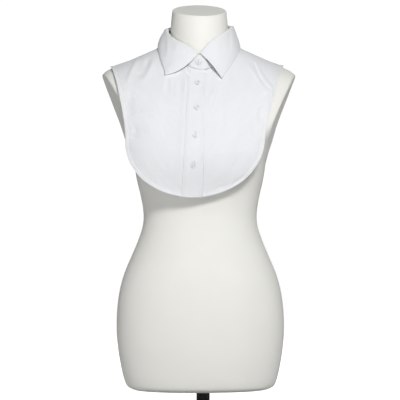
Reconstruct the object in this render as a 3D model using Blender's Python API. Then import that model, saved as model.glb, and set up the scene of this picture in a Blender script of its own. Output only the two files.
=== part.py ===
"""A detachable shirt collar with bib fronts and back, worn by a limbless dress form on a short stand.

Metres, +Z up. The wearer faces -Y, so the picture's right is +X.
The origin is the middle of the base's underside.
Heights in the tables are above the dress form's own underside, and FORM_FOOT lifts them.
A turn goes round the body: 0 at the front, 90 degrees at +X, 180 at the back.
"""

import math
from collections import namedtuple

import bmesh
import bpy
from mathutils import Matrix, Vector

# Driving sizes of the stand
FORM_FOOT = 0.160
BASE_RADIUS = 0.160
BASE_THICK = 0.012
BASE_EDGE = 0.003
POLE_RADIUS = 0.0135
POLE_X = 0.0072
POLE_Y = 0.006
JOINT_GAP = 0.0003
ROUND_STEPS = 48

# Driving sizes of the dress form
ARM_PLATE_X = 0.1914
ARM_PLATE_TOP = 0.627
ARM_PLATE_LEAN = 0.390
ARM_PLATE_TURN = 0.167
ARM_PLATE_BACK = 0.020
ARM_PLATE_SOFT = 0.007
ARM_PLATE_FLARE = 0.415
ARM_PLATE_FLARE_TOP = 0.545
ARM_PLATE_FLARE_POWER = 1.5
ARM_PLATE_FOOT = 0.450
NECK_RIM = 0.003
FORM_LEAN = 0.0035
FORM_AROUND = 46
FORM_STEPS_PER_ROW = 2

# Driving sizes of the cloth
CLOTH = 0.0012
CLOTH_REST = 0.0014
LAYER = 0.0016
NECK_ROW = 3.0
SHOULDER_SEAM_TURN = 0.0045
SWING = 4.5
SWING_TOP = 0.52

# The fronts as cut: half their width, their flare up to the shoulder, and the round hem
HEM_HALF_WIDTH = 0.135
HEM_ROUND_TOP = 0.500
HEM_ROUND_DROP = 0.113
SIDE_FLARE = 0.26
FLARE_EASE = 0.030
TIP_REACH = 0.0058
TIP_RISE = 0.149
TIP_SHARPNESS = 6
OUTLINE_X = -0.0048
OUTLINE_LEAN = 0.056
BACK_OUTLINE_LEAN = -0.04
CENTRE_X = -0.0049
CENTRE_TOP = 0.660
CENTRE_LEAN = 0.0644

# The placket and the laps of the two fronts, measured from the line of the buttons
PLACKET_LEFT = 0.0200
PLACKET_RIGHT = 0.0123
PLACKET_SPREAD = 0.034
PLACKET_INSET = 0.0004
UNDERLAP = 0.010
LAP_RAMP_START = 0.036
LAP_RAMP_END = 0.023

# The collar's stand and leaf
FOLD_HALF_WIDTH = 0.0628
FOLD_MIDDLE_X = 0.0002
FOLD_FRONT_SHIFT = -0.0040
FOLD_LEFT_SAG = 0.0095
FOLD_SIDE_Y = 0.0060
FOLD_FRONT_Y = -0.0585
FOLD_BACK_Y = 0.0690
FOLD_LEFT_SAG_SPREAD = 0.8
FOLD_SIDE_TOP = 0.7290
FOLD_SIDE_LEAN = 0.0030
FOLD_FRONT_FALL = 0.0295
FOLD_NOTCH_FALL = 0.029
FOLD_NOTCH_TIP = 0.08
FOLD_NOTCH_WIDE = 0.235
FOLD_BACK_RISE = 0.0180
STAND_FOOT_LIFT = 0.0018
STAND_LAP_TURN = 0.21
STAND_UNDER_TURNS = (-0.16, -0.05)
STAND_LAST_TURN = 0.03
STAND_LAP_RISES = (0.55, 0.25)
STAND_SHARES = (0.0, 0.33, 0.67, 1.0)

BUTTON_RADIUS = 0.0055
BUTTON_THICK = 0.0022
BUTTON_RIM = 0.0012
BUTTON_DISH = 0.0005
BUTTON_FOOT_SHARE = 0.93
BUTTON_LOW_SHARE = 0.35
BUTTON_HIGH_SHARE = 0.70
BUTTON_CLEARANCE = 0.0006
BUTTON_SIDES = 24
STAND_BUTTON_TURN = -0.045
STAND_BUTTON_HEIGHT = 0.6556
PLACKET_BUTTON_HEIGHTS = (0.6132, 0.5640, 0.5086, 0.4506)

FormRow = namedtuple("FormRow", "side_x side_y side_z front_y front_z back_y back_z square sweep")
FORM_ROWS = [
    FormRow(0.0550, 0.0020, 0.7620, -0.0520, 0.7450, 0.0560, 0.7790, 2.00, 1.0),
    FormRow(0.0572, 0.0035, 0.7400, -0.0530, 0.7200, 0.0590, 0.7590, 2.00, 1.0),
    FormRow(0.0595, 0.0055, 0.7170, -0.0540, 0.6850, 0.0630, 0.7350, 2.00, 1.2),
    FormRow(0.0660, 0.0080, 0.6970, -0.0575, 0.6400, 0.0690, 0.7110, 2.00, 1.7),
    FormRow(0.0850, 0.0110, 0.6860, -0.0620, 0.6270, 0.0770, 0.6985, 2.00, 2.0),
    FormRow(0.1090, 0.0140, 0.6755, -0.0675, 0.6130, 0.0860, 0.6820, 2.00, 2.0),
    FormRow(0.1400, 0.0180, 0.6620, -0.0745, 0.5980, 0.0940, 0.6610, 2.05, 2.0),
    FormRow(0.1700, 0.0210, 0.6512, -0.0825, 0.5820, 0.1000, 0.6380, 2.10, 2.0),
    FormRow(0.1890, 0.0220, 0.6420, -0.0900, 0.5650, 0.1045, 0.6140, 2.20, 2.0),
    FormRow(0.2010, 0.0220, 0.6260, -0.0985, 0.5460, 0.1075, 0.5870, 2.30, 2.0),
    FormRow(0.2050, 0.0200, 0.5920, -0.1080, 0.5250, 0.1085, 0.5580, 2.30, 2.0),
    FormRow(0.1980, 0.0170, 0.5600, -0.1165, 0.5060, 0.1075, 0.5290, 2.30, 2.0),
    FormRow(0.1760, 0.0140, 0.5300, -0.1220, 0.4880, 0.1050, 0.5010, 2.25, 2.0),
    FormRow(0.1510, 0.0100, 0.5000, -0.1230, 0.4680, 0.1010, 0.4740, 2.20, 2.0),
    FormRow(0.1352, 0.0050, 0.4610, -0.1150, 0.4400, 0.0940, 0.4420, 2.15, 2.0),
    FormRow(0.1270, 0.0020, 0.4200, -0.1010, 0.4080, 0.0860, 0.4100, 2.15, 2.0),
    FormRow(0.1195, 0.0000, 0.3880, -0.0905, 0.3800, 0.0790, 0.3800, 2.15, 2.0),
    FormRow(0.1145, 0.0000, 0.3560, -0.0855, 0.3540, 0.0755, 0.3540, 2.15, 2.0),
    FormRow(0.1160, 0.0000, 0.3290, -0.0855, 0.3290, 0.0760, 0.3290, 2.15, 2.0),
    FormRow(0.1257, 0.0010, 0.2990, -0.0875, 0.2990, 0.0825, 0.2990, 2.20, 2.0),
    FormRow(0.1392, 0.0030, 0.2670, -0.0915, 0.2670, 0.0935, 0.2670, 2.20, 2.0),
    FormRow(0.1529, 0.0050, 0.2345, -0.0960, 0.2345, 0.1055, 0.2345, 2.25, 2.0),
    FormRow(0.1630, 0.0060, 0.1980, -0.0995, 0.1980, 0.1145, 0.1980, 2.25, 2.0),
    FormRow(0.1682, 0.0070, 0.1580, -0.1010, 0.1580, 0.1195, 0.1580, 2.30, 2.0),
    FormRow(0.1691, 0.0070, 0.1200, -0.1005, 0.1200, 0.1195, 0.1200, 2.30, 2.0),
    FormRow(0.1665, 0.0070, 0.0810, -0.0980, 0.0810, 0.1155, 0.0810, 2.30, 2.0),
    FormRow(0.1600, 0.0060, 0.0430, -0.0935, 0.0430, 0.1085, 0.0430, 2.30, 2.0),
    FormRow(0.1540, 0.0060, 0.0190, -0.0895, 0.0190, 0.1030, 0.0190, 2.30, 2.0),
    FormRow(0.1475, 0.0060, 0.0060, -0.0850, 0.0060, 0.0980, 0.0060, 2.30, 2.0),
    FormRow(0.1350, 0.0060, 0.0000, -0.0750, 0.0000, 0.0880, 0.0000, 2.30, 2.0),
]

# How far the cloth's own rows stand off the form's rows at the front, the side and the back,
# and how much squarer they are where the cloth hangs free
Ease = namedtuple("Ease", "front side back square")
CLOTH_EASE = {
    5: Ease(0.0020, 0.0000, 0.0000, 0.00),
    6: Ease(0.0035, 0.0006, 0.0004, 0.00),
    7: Ease(0.0044, 0.0016, 0.0010, 0.00),
    8: Ease(0.0048, 0.0026, 0.0016, 0.00),
    9: Ease(0.0035, 0.0035, 0.0015, 0.00),
    10: Ease(0.0020, 0.0050, 0.0030, 0.00),
    11: Ease(0.0010, 0.0100, 0.0060, 0.05),
    12: Ease(0.0005, 0.0240, 0.0110, 0.15),
    13: Ease(0.0030, 0.0420, 0.0180, 0.30),
    14: Ease(0.0080, 0.0550, 0.0260, 0.45),
    15: Ease(0.0130, 0.0610, 0.0330, 0.55),
    16: Ease(0.0175, 0.0670, 0.0400, 0.55),
    17: Ease(0.0200, 0.0710, 0.0430, 0.55),
}
NO_EASE = Ease(0.0, 0.0, 0.0, 0.0)

# The leaf from its right-hand end round the back to its left-hand end, turns in degrees
LeafRow = namedtuple("LeafRow", "fold_turn edge_turn edge_row lift bow swell")
LEAF_ROWS = [
    LeafRow(1.5, 21.2, 5.08, 0.0030, -0.0050, 0.0000),
    LeafRow(15.0, 29.7, 4.65, 0.0026, -0.0030, 0.0004),
    LeafRow(30.0, 40.8, 4.28, 0.0024, -0.0010, 0.0012),
    LeafRow(46.0, 52.5, 4.06, 0.0022, 0.0000, 0.0016),
    LeafRow(68.0, 69.5, 3.88, 0.0022, 0.0000, 0.0004),
    LeafRow(90.0, 90.0, 3.76, 0.0022, 0.0000, 0.0004),
    LeafRow(135.0, 135.0, 3.65, 0.0022, 0.0000, 0.0030),
    LeafRow(180.0, 180.0, 3.60, 0.0022, 0.0000, 0.0040),
    LeafRow(225.0, 225.0, 3.70, 0.0022, 0.0000, 0.0033),
    LeafRow(270.0, 270.0, 3.83, 0.0022, 0.0000, 0.0027),
    LeafRow(290.0, 290.0, 4.08, 0.0022, 0.0000, 0.0026),
    LeafRow(310.0, 304.5, 4.46, 0.0022, 0.0005, 0.0023),
    LeafRow(328.0, 315.2, 4.87, 0.0024, 0.0020, 0.0014),
    LeafRow(342.0, 321.5, 5.20, 0.0026, 0.0045, 0.0006),
    LeafRow(357.5, 324.8, 5.465, 0.0028, 0.0085, 0.0000),
]
LEAF_AROUND = 64

# The leaf's section from its fold to its edge: down, out of the straight line, up, and its share of the swell
LeafStep = namedtuple("LeafStep", "down out up swell")
LEAF_SECTION = [
    LeafStep(0.00, 0.0000, 0.0019, 0.00),
    LeafStep(0.01, 0.0016, 0.0034, 0.04),
    LeafStep(0.06, 0.0038, 0.0036, 0.25),
    LeafStep(0.16, 0.0042, 0.0016, 0.65),
    LeafStep(0.36, 0.0040, 0.0000, 1.00),
    LeafStep(0.60, 0.0031, 0.0000, 0.85),
    LeafStep(0.82, 0.0016, 0.0000, 0.45),
    LeafStep(1.00, 0.0000, 0.0000, 0.00),
]

ROWS_CLOSER = 1.7
STEPS_DOWN = 31
STEPS_TO_TIP = 10
HEM_BEND = 3
FRONT_STEPS_ACROSS = 16
BACK_STEPS_ACROSS = 20
PLACKET_STEPS_ACROSS = 3
TINY_TURN = 0.004
TINY_ROW = 0.02
HALVINGS = 30

# The rows between which the shoulder tip, the hem's corner and the hem itself lie
TIP_ROWS = (5.0, 9.0)
CORNER_ROWS = (8.0, 16.5)
HEM_ROWS = (10.0, 16.9)


def make_material(name, colour, roughness, metallic):
    """A plain material with the photo's colour."""
    material = bpy.data.materials.new(name)
    material.use_nodes = True
    shader = material.node_tree.nodes["Principled BSDF"]
    shader.inputs["Base Color"].default_value = (*colour, 1.0)
    shader.inputs["Roughness"].default_value = roughness
    shader.inputs["Metallic"].default_value = metallic
    return material


def add_object(name, mesh_data, material, smooth=True):
    """Close a bmesh into a named object with outward faces."""
    bmesh.ops.recalc_face_normals(mesh_data, faces=mesh_data.faces[:])
    mesh = bpy.data.meshes.new(name)
    mesh_data.to_mesh(mesh)
    mesh_data.free()
    mesh.materials.append(material)
    for polygon in mesh.polygons:
        polygon.use_smooth = smooth
    thing = bpy.data.objects.new(name, mesh)
    bpy.context.scene.collection.objects.link(thing)
    return thing


def between(rows, position):
    """Read a table at a fractional row along a smooth curve through its rows."""
    index = min(max(int(math.floor(position)), 0), len(rows) - 2)
    part = position - index
    before = rows[max(index - 1, 0)]
    start = rows[index]
    end = rows[index + 1]
    after = rows[min(index + 2, len(rows) - 1)]
    values = []
    for a, b, c, d in zip(before, start, end, after):
        values.append(
            b + 0.5 * part * (c - a + part * (2 * a - 5 * b + 4 * c - d + part * (3 * (b - c) + d - a)))
        )
    return type(start)(*values)


def row_point(row, turn):
    """One point of a row at a turn round the body."""
    sine = math.sin(turn)
    cosine = math.cos(turn)
    power = 2.0 / row.square
    x = math.copysign(abs(sine) ** power, sine) * row.side_x
    reach = abs(cosine) ** power
    fall = abs(cosine) ** row.sweep
    end_y, end_z = (row.front_y, row.front_z) if cosine >= 0 else (row.back_y, row.back_z)
    y = row.side_y + (end_y - row.side_y) * reach
    z = row.side_z + (end_z - row.side_z) * fall
    return Vector((x - FORM_LEAN * (z - ARM_PLATE_TOP), y, z + FORM_FOOT))


def soft_least(value, limit, softness):
    """The smaller of two numbers with a rounded change between them."""
    share = min(max(0.5 + 0.5 * (limit - value) / softness, 0.0), 1.0)
    return limit + (value - limit) * share - softness * share * (1 - share)


def form_point(position, turn):
    """A point of the dress form, with its arm plates cut flat."""
    point = row_point(between(FORM_ROWS, position), turn)
    plate = ARM_PLATE_X - ARM_PLATE_LEAN * (ARM_PLATE_TOP + FORM_FOOT - point.z)
    plate += ARM_PLATE_TURN * min(point.y, ARM_PLATE_BACK)
    under = max(ARM_PLATE_FLARE_TOP + FORM_FOOT - point.z, 0.0)
    plate += ARM_PLATE_FLARE * under ** ARM_PLATE_FLARE_POWER
    if point.z > FORM_FOOT + ARM_PLATE_FOOT:
        point.x = math.copysign(soft_least(abs(point.x), plate, ARM_PLATE_SOFT), point.x)
    return point


def eased_row(index):
    """A form row let out by the cloth's ease."""
    row = FORM_ROWS[index]
    ease = CLOTH_EASE.get(index, NO_EASE)
    return row._replace(
        side_x=row.side_x + ease.side,
        front_y=row.front_y - ease.front,
        back_y=row.back_y + ease.back,
        square=row.square + ease.square,
    )


CLOTH_ROWS = [eased_row(index) for index in range(max(CLOTH_EASE) + 1)]


def hanging_point(position, turn):
    """A point of the cloth's rows, whose free lower part swings closer to the form at the picture's right."""
    point = row_point(between(CLOTH_ROWS, position), turn)
    under = max(SWING_TOP + FORM_FOOT - point.z, 0.0)
    point.y += SWING * point.x * under ** 2
    return point


def cloth_point(position, turn, lift=0.0):
    """A point of the surface that the cloth hangs on, moved out by a lift."""
    point = hanging_point(position, turn)
    down = hanging_point(position + TINY_ROW, turn) - point
    round_it = hanging_point(position, turn + TINY_TURN) - point
    normal = down.cross(round_it).normalized()
    return point + normal * (CLOTH_REST + lift)


def solve(function, low, high):
    """Where a rising function crosses zero."""
    for _ in range(HALVINGS):
        middle = 0.5 * (low + high)
        if function(middle) < 0:
            low = middle
        else:
            high = middle
    return 0.5 * (low + high)


def centre_line(z):
    """The line of the buttons, which leans to the picture's left."""
    return CENTRE_X - CENTRE_LEAN * (CENTRE_TOP + FORM_FOOT - z)


def outline_line(z, facing):
    """The middle of the outline: the fronts hang a little to the picture's left, the back to its right."""
    lean = OUTLINE_LEAN if facing > 0 else BACK_OUTLINE_LEAN
    return OUTLINE_X - lean * (CENTRE_TOP + FORM_FOOT - z)


def half_width(z):
    """Half the garment's width at a height, from the round hem to the shoulder tip."""
    above = z - FORM_FOOT - HEM_ROUND_TOP
    if above >= 0:
        flare = SIDE_FLARE * above * above / (above + FLARE_EASE)
        return HEM_HALF_WIDTH + flare + TIP_REACH * (above / TIP_RISE) ** TIP_SHARPNESS
    drop = min(-above / HEM_ROUND_DROP, 1.0)
    return HEM_HALF_WIDTH * math.sqrt(1 - drop * drop)


def edge_turn(position, side, facing):
    """The turn at which a row meets the outer edge, or the shoulder seam if that comes first."""
    def beyond(turn):
        point = row_point(between(CLOTH_ROWS, position), turn)
        return side * (point.x - outline_line(point.z, facing)) - half_width(point.z)

    seam = side * (math.pi / 2 - facing * SHOULDER_SEAM_TURN)
    if beyond(seam) <= 0:
        return seam
    middle = 0.0 if facing > 0 else side * math.pi
    return solve(lambda share: beyond(middle + (seam - middle) * share), 0.0, 1.0) * (seam - middle) + middle


def turn_at(position, x_from_centre):
    """The turn at which a row is a given way across from the line of the buttons."""
    def beyond(turn):
        point = row_point(between(CLOTH_ROWS, position), turn)
        return point.x - centre_line(point.z) - x_from_centre

    return solve(beyond, -math.pi / 2, math.pi / 2)


def hem_row(turn):
    """The row at which a turn meets the round hem."""
    def below(position):
        point = row_point(between(CLOTH_ROWS, position), turn)
        across = abs(point.x - outline_line(point.z, math.cos(turn))) / HEM_HALF_WIDTH
        hem = HEM_ROUND_TOP - HEM_ROUND_DROP * math.sqrt(max(1 - across * across, 0.0))
        return hem + FORM_FOOT - point.z

    return solve(below, *HEM_ROWS)


def smooth_step(value, low, high):
    """0 below the low value, 1 above the high one, eased between."""
    share = min(max((value - low) / (high - low), 0.0), 1.0)
    return share * share * (3 - 2 * share)


def grid_sheet(name, grid, material, low, high, closed=False):
    """A closed cloth wall from a grid of points, between two distances out from it."""
    count_down = len(grid)
    count_across = len(grid[0])
    mesh_data = bmesh.new()
    normals = []
    facing = 0.0
    for i in range(count_down):
        row = []
        for j in range(count_across):
            right = grid[i][(j + 1) % count_across] if closed else grid[i][min(j + 1, count_across - 1)]
            left = grid[i][(j - 1) % count_across] if closed else grid[i][max(j - 1, 0)]
            down = grid[min(i + 1, count_down - 1)][j] - grid[max(i - 1, 0)][j]
            normal = (right - left).cross(down).normalized()
            row.append(normal)
            facing += normal.x * grid[i][j].x + normal.y * grid[i][j].y
        normals.append(row)
    sign = 1.0 if facing > 0 else -1.0
    layers = []
    for distance in (low, high):
        layer = []
        for points, directions in zip(grid, normals):
            layer.append(
                [mesh_data.verts.new(point + way * sign * distance) for point, way in zip(points, directions)]
            )
        layers.append(layer)
    spans = count_across if closed else count_across - 1
    for layer in layers:
        for i in range(count_down - 1):
            for j in range(spans):
                k = (j + 1) % count_across
                mesh_data.faces.new((layer[i][j], layer[i][k], layer[i + 1][k], layer[i + 1][j]))
    inner, outer = layers
    for i in (0, count_down - 1):
        for j in range(spans):
            k = (j + 1) % count_across
            mesh_data.faces.new((inner[i][j], inner[i][k], outer[i][k], outer[i][j]))
    if not closed:
        for j in (0, count_across - 1):
            for i in range(count_down - 1):
                mesh_data.faces.new((inner[i][j], inner[i + 1][j], outer[i + 1][j], outer[i][j]))
    return add_object(name, mesh_data, material)


def lathe(name, profile, centre, material, steps=ROUND_STEPS):
    """Turn a profile of radius and height round an upright axis."""
    mesh_data = bmesh.new()
    rings = []
    for radius, height in profile:
        if radius == 0:
            rings.append([mesh_data.verts.new((centre[0], centre[1], height))])
            continue
        rings.append(
            [
                mesh_data.verts.new(
                    (
                        centre[0] + radius * math.cos(2 * math.pi * step / steps),
                        centre[1] + radius * math.sin(2 * math.pi * step / steps),
                        height,
                    )
                )
                for step in range(steps)
            ]
        )
    for upper, lower in zip(rings, rings[1:]):
        for step in range(steps):
            following = (step + 1) % steps
            if len(upper) == 1:
                mesh_data.faces.new((upper[0], lower[step], lower[following]))
            elif len(lower) == 1:
                mesh_data.faces.new((upper[step], upper[following], lower[0]))
            else:
                mesh_data.faces.new((upper[step], upper[following], lower[following], lower[step]))
    return add_object(name, mesh_data, material)


def build_form(material):
    """The limbless torso, from its slanted neck top to its flat underside."""
    mesh_data = bmesh.new()
    last = len(FORM_ROWS) - 1
    positions = [step / FORM_STEPS_PER_ROW for step in range(last * FORM_STEPS_PER_ROW + 1)]
    rings = [
        [form_point(position, 2 * math.pi * step / FORM_AROUND) for step in range(FORM_AROUND)]
        for position in positions
    ]
    top_centre = sum(rings[0], Vector()) / FORM_AROUND
    top_normal = (rings[0][0] - top_centre).cross(rings[0][FORM_AROUND // 4] - top_centre).normalized()
    rim = [point + (top_centre - point).normalized() * NECK_RIM + top_normal * NECK_RIM for point in rings[0]]
    rings.insert(0, rim)
    rows = [[mesh_data.verts.new(point) for point in ring] for ring in rings]
    for upper, lower in zip(rows, rows[1:]):
        for step in range(FORM_AROUND):
            following = (step + 1) % FORM_AROUND
            mesh_data.faces.new((upper[step], upper[following], lower[following], lower[step]))
    for ring in (rows[0], rows[-1]):
        middle = mesh_data.verts.new(sum((vertex.co for vertex in ring), Vector()) / FORM_AROUND)
        for step in range(FORM_AROUND):
            mesh_data.faces.new((ring[step], ring[(step + 1) % FORM_AROUND], middle))
    return add_object("dress_form", mesh_data, material)


def panel_rows(side, facing, inner_turn, steps_across):
    """The grid of one panel from its neckline to its round hem."""
    corner = solve(
        lambda position: HEM_ROUND_TOP - HEM_ROUND_DROP * math.sqrt(0.5) + FORM_FOOT
        - row_point(between(CLOTH_ROWS, position), edge_turn(position, side, facing)).z,
        *CORNER_ROWS,
    )
    seam = side * (math.pi / 2 - facing * SHOULDER_SEAM_TURN)
    tip = solve(lambda position: 1.0 if edge_turn(position, side, facing) != seam else -1.0, *TIP_ROWS)
    positions = [NECK_ROW + (tip - NECK_ROW) * step / STEPS_TO_TIP for step in range(STEPS_TO_TIP + 1)]
    rest = STEPS_DOWN - STEPS_TO_TIP
    positions += [tip + (corner - tip) * (step / rest) ** ROWS_CLOSER for step in range(1, rest + 1)]
    corner_turn = edge_turn(corner, side, facing)
    grid = []
    for position in positions:
        outer = edge_turn(position, side, facing)
        if position <= tip:
            outer = seam
        down = (position - NECK_ROW) / (corner - NECK_ROW)
        bend = down ** HEM_BEND
        row = []
        for step in range(steps_across + 1):
            share = step / steps_across
            inner = inner_turn(position)
            turn = inner + (outer - inner) * share
            hem_inner = inner_turn(hem_row(0.0 if facing > 0 else math.pi))
            hem_turn = hem_inner + (corner_turn - hem_inner) * share
            sag = (hem_row(hem_turn) - corner) * bend
            row.append((position + sag, turn))
        grid.append(row)
    return grid


def build_front(name, side, edge_offset, lift_at, material):
    """One front, from its edge at the centre out to the shoulder seam and the round outer hem."""
    def inner_turn(position):
        return turn_at(position, edge_offset(position))

    grid = []
    for row in panel_rows(side, 1, inner_turn, FRONT_STEPS_ACROSS):
        points = []
        for position, turn in row:
            plain = cloth_point(position, turn)
            points.append(cloth_point(position, turn, lift_at(plain.x - centre_line(plain.z))))
        grid.append(points)
    return grid_sheet(name, grid, material, 0.0, CLOTH)


def build_back(material):
    """The back between the two shoulder seams, with its own round hem."""
    grid = []
    right = panel_rows(1, -1, lambda position: math.pi, BACK_STEPS_ACROSS // 2)
    left = panel_rows(-1, -1, lambda position: -math.pi, BACK_STEPS_ACROSS // 2)
    for right_row, left_row in zip(right, left):
        points = [cloth_point(position, turn) for position, turn in reversed(right_row)]
        points += [cloth_point(position, turn) for position, turn in left_row[1:]]
        grid.append(points)
    return grid_sheet("back", grid, material, 0.0, CLOTH)


def right_edge(position):
    """How far the lapping edge goes past the line of the buttons, a little more towards the hem."""
    z = row_point(between(CLOTH_ROWS, position), 0.0).z
    return PLACKET_RIGHT + PLACKET_SPREAD * (CENTRE_TOP + FORM_FOOT - z)


def build_placket(material):
    """The strip down the centre on the lapping front."""
    grid = []
    bottom = hem_row(0.0)
    for step in range(STEPS_DOWN + 1):
        position = NECK_ROW + (bottom - NECK_ROW) * step / STEPS_DOWN
        row = []
        for column in range(PLACKET_STEPS_ACROSS + 1):
            share = column / PLACKET_STEPS_ACROSS
            offset = -PLACKET_LEFT + (right_edge(position) - PLACKET_INSET + PLACKET_LEFT) * share
            turn = turn_at(position, offset)
            sag = (hem_row(turn) - bottom) * (step / STEPS_DOWN) ** HEM_BEND
            row.append(cloth_point(position + sag, turn, 2 * LAYER))
        grid.append(row)
    return grid_sheet("placket", grid, material, 0.0, CLOTH)


def fold_point(turn):
    """A point of the stand's top edge, which dips to a notch at the front and sags on the wearer's right."""
    sine = math.sin(turn)
    cosine = math.cos(turn)
    ahead = max(cosine, 0.0)
    behind = ahead - cosine
    from_front = math.hypot(math.atan2(sine, cosine), FOLD_NOTCH_TIP) - FOLD_NOTCH_TIP
    x = FOLD_MIDDLE_X + FOLD_HALF_WIDTH * sine + FOLD_FRONT_SHIFT * ahead
    y = FOLD_SIDE_Y + (FOLD_FRONT_Y - FOLD_SIDE_Y) * ahead + (FOLD_BACK_Y - FOLD_SIDE_Y) * behind
    z = FOLD_SIDE_TOP + FOLD_SIDE_LEAN * sine + FOLD_BACK_RISE * behind ** 2 - FOLD_FRONT_FALL * ahead ** 1.5
    z -= FOLD_NOTCH_FALL * math.exp(-from_front / FOLD_NOTCH_WIDE)
    z -= FOLD_LEFT_SAG * max(-2 * sine * ahead, 0.0) ** FOLD_LEFT_SAG_SPREAD
    return Vector((x, y, z + FORM_FOOT))


def stand_foot(turn):
    """A point of the stand's lower edge, just above the neckline."""
    return cloth_point(NECK_ROW, turn) + Vector((0.0, 0.0, STAND_FOOT_LIFT))


def leaf_row(station):
    """The leaf's table read at one of its stations."""
    return between(LEAF_ROWS, (len(LEAF_ROWS) - 1) * station / LEAF_AROUND)


def build_stand(material):
    """The collar stand, an open band whose lapping end lies over the other."""
    whole = 2 * math.pi
    leaf_turns = [math.radians(leaf_row(station).fold_turn) for station in range(LEAF_AROUND + 1)]
    turns = list(STAND_UNDER_TURNS) + leaf_turns + [whole - STAND_LAST_TURN]
    turns += [turn + whole for turn in leaf_turns if turn < STAND_LAP_TURN]
    grid = [[] for _ in STAND_SHARES]
    for turn in turns:
        lap = LAYER * smooth_step(turn, whole - STAND_LAP_RISES[0], whole - STAND_LAP_RISES[1])
        foot = stand_foot(turn)
        top = fold_point(turn)
        outward = Vector((math.sin(turn), -math.cos(turn), 0.0))
        for row, share in zip(grid, STAND_SHARES):
            row.append(foot.lerp(top, share) + outward * lap)
    return grid_sheet("collar_stand", grid, material, 0.0, CLOTH)


def build_leaf(material):
    """The leaf that folds down over the stand from point to point."""
    grid = [[] for _ in LEAF_SECTION]
    for station in range(LEAF_AROUND + 1):
        row = leaf_row(station)
        fold_turn = math.radians(row.fold_turn)
        fold = fold_point(fold_turn)
        edge = cloth_point(row.edge_row, math.radians(row.edge_turn), CLOTH + row.lift)
        outward = Vector((math.sin(fold_turn), -math.cos(fold_turn), 0.0))
        along = (fold_point(fold_turn + TINY_TURN) - fold_point(fold_turn - TINY_TURN)).normalized()
        upward = outward.cross(along).normalized()
        upward *= math.copysign(1.0, upward.z)
        for line, step in zip(grid, LEAF_SECTION):
            point = fold.lerp(edge, step.down) + upward * step.up
            point += outward * (step.out + CLOTH / 2 + row.swell * step.swell)
            point.z -= row.bow * 4 * step.down * (1 - step.down)
            line.append(point)
    return grid_sheet("collar", grid, material, -CLOTH / 2, CLOTH / 2)


def build_button(name, place, normal, material):
    """A small round button with a raised rim."""
    mesh_data = bmesh.new()
    steps = BUTTON_SIDES
    profile = [
        (BUTTON_RADIUS * BUTTON_FOOT_SHARE, 0.0),
        (BUTTON_RADIUS, BUTTON_THICK * BUTTON_LOW_SHARE),
        (BUTTON_RADIUS, BUTTON_THICK * BUTTON_HIGH_SHARE),
        (BUTTON_RADIUS - BUTTON_RIM / 2, BUTTON_THICK),
        (BUTTON_RADIUS - BUTTON_RIM, BUTTON_THICK - BUTTON_DISH),
    ]
    angles = [2 * math.pi * s / steps for s in range(steps)]
    rings = [
        [mesh_data.verts.new((radius * math.cos(a), radius * math.sin(a), height)) for a in angles]
        for radius, height in profile
    ]
    for upper, lower in zip(rings, rings[1:]):
        for s in range(steps):
            t = (s + 1) % steps
            mesh_data.faces.new((upper[s], upper[t], lower[t], lower[s]))
    mesh_data.faces.new(rings[0])
    mesh_data.faces.new(rings[-1])
    up = Vector((0.0, 0.0, 1.0))
    across = up.cross(normal).normalized()
    rise = normal.cross(across).normalized()
    turned = Matrix((across, rise, normal)).transposed().to_4x4()
    turned.translation = place
    bmesh.ops.transform(mesh_data, matrix=turned, verts=mesh_data.verts)
    return add_object(name, mesh_data, material)


def build_buttons(material):
    """One button on the stand and four down the placket."""
    made = []
    turn = STAND_BUTTON_TURN
    foot = stand_foot(turn)
    top = fold_point(turn)
    share = (STAND_BUTTON_HEIGHT + FORM_FOOT - foot.z) / (top.z - foot.z)
    slope = (top - foot).normalized()
    normal = slope.cross(Vector((1.0, 0.0, 0.0))).normalized()
    if normal.y > 0:
        normal = -normal
    place = foot.lerp(top, share) + normal * (LAYER + CLOTH + BUTTON_CLEARANCE)
    made.append(build_button("button_1", place, normal, material))
    for number, height in enumerate(PLACKET_BUTTON_HEIGHTS, start=2):
        position = solve(
            lambda row: height + FORM_FOOT - cloth_point(row, turn_at(row, 0.0), 2 * LAYER).z,
            NECK_ROW,
            CORNER_ROWS[1],
        )
        turn = turn_at(position, 0.0)
        low = cloth_point(position, turn, 2 * LAYER)
        high = cloth_point(position, turn, 3 * LAYER)
        normal = (high - low).normalized()
        place = low + normal * (CLOTH + BUTTON_CLEARANCE)
        made.append(build_button("button_" + str(number), place, normal, material))
    return made


def build():
    """Make every piece."""
    for thing in list(bpy.data.objects):
        bpy.data.objects.remove(thing, do_unlink=True)
    cotton = make_material("white_cotton", (0.86, 0.87, 0.89), 0.85, 0.0)
    shell = make_material("form_shell", (0.80, 0.79, 0.75), 0.60, 0.0)
    black = make_material("black_metal", (0.02, 0.02, 0.02), 0.45, 0.0)
    pearl = make_material("white_button", (0.88, 0.88, 0.87), 0.30, 0.0)
    build_form(shell)
    lathe(
        "pole",
        [
            (0, FORM_FOOT - JOINT_GAP),
            (POLE_RADIUS, FORM_FOOT - JOINT_GAP),
            (POLE_RADIUS, BASE_THICK + JOINT_GAP),
            (0, BASE_THICK + JOINT_GAP),
        ],
        (POLE_X, POLE_Y),
        black,
    )
    lathe(
        "base",
        [
            (0, BASE_THICK),
            (BASE_RADIUS - BASE_EDGE, BASE_THICK),
            (BASE_RADIUS, BASE_THICK - BASE_EDGE),
            (BASE_RADIUS, 0.0),
            (0, 0.0),
        ],
        (0.0, 0.0),
        black,
    )

    def over_lift(offset):
        return LAYER * smooth_step(offset, -LAP_RAMP_START, -LAP_RAMP_END)

    build_front("front_right", -1, right_edge, over_lift, cotton)
    build_front("front_left", 1, lambda position: -UNDERLAP, lambda offset: 0.0, cotton)
    build_back(cotton)
    build_placket(cotton)
    build_stand(cotton)
    build_leaf(cotton)
    build_buttons(pearl)


build()
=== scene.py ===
import math
from collections import namedtuple

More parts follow.
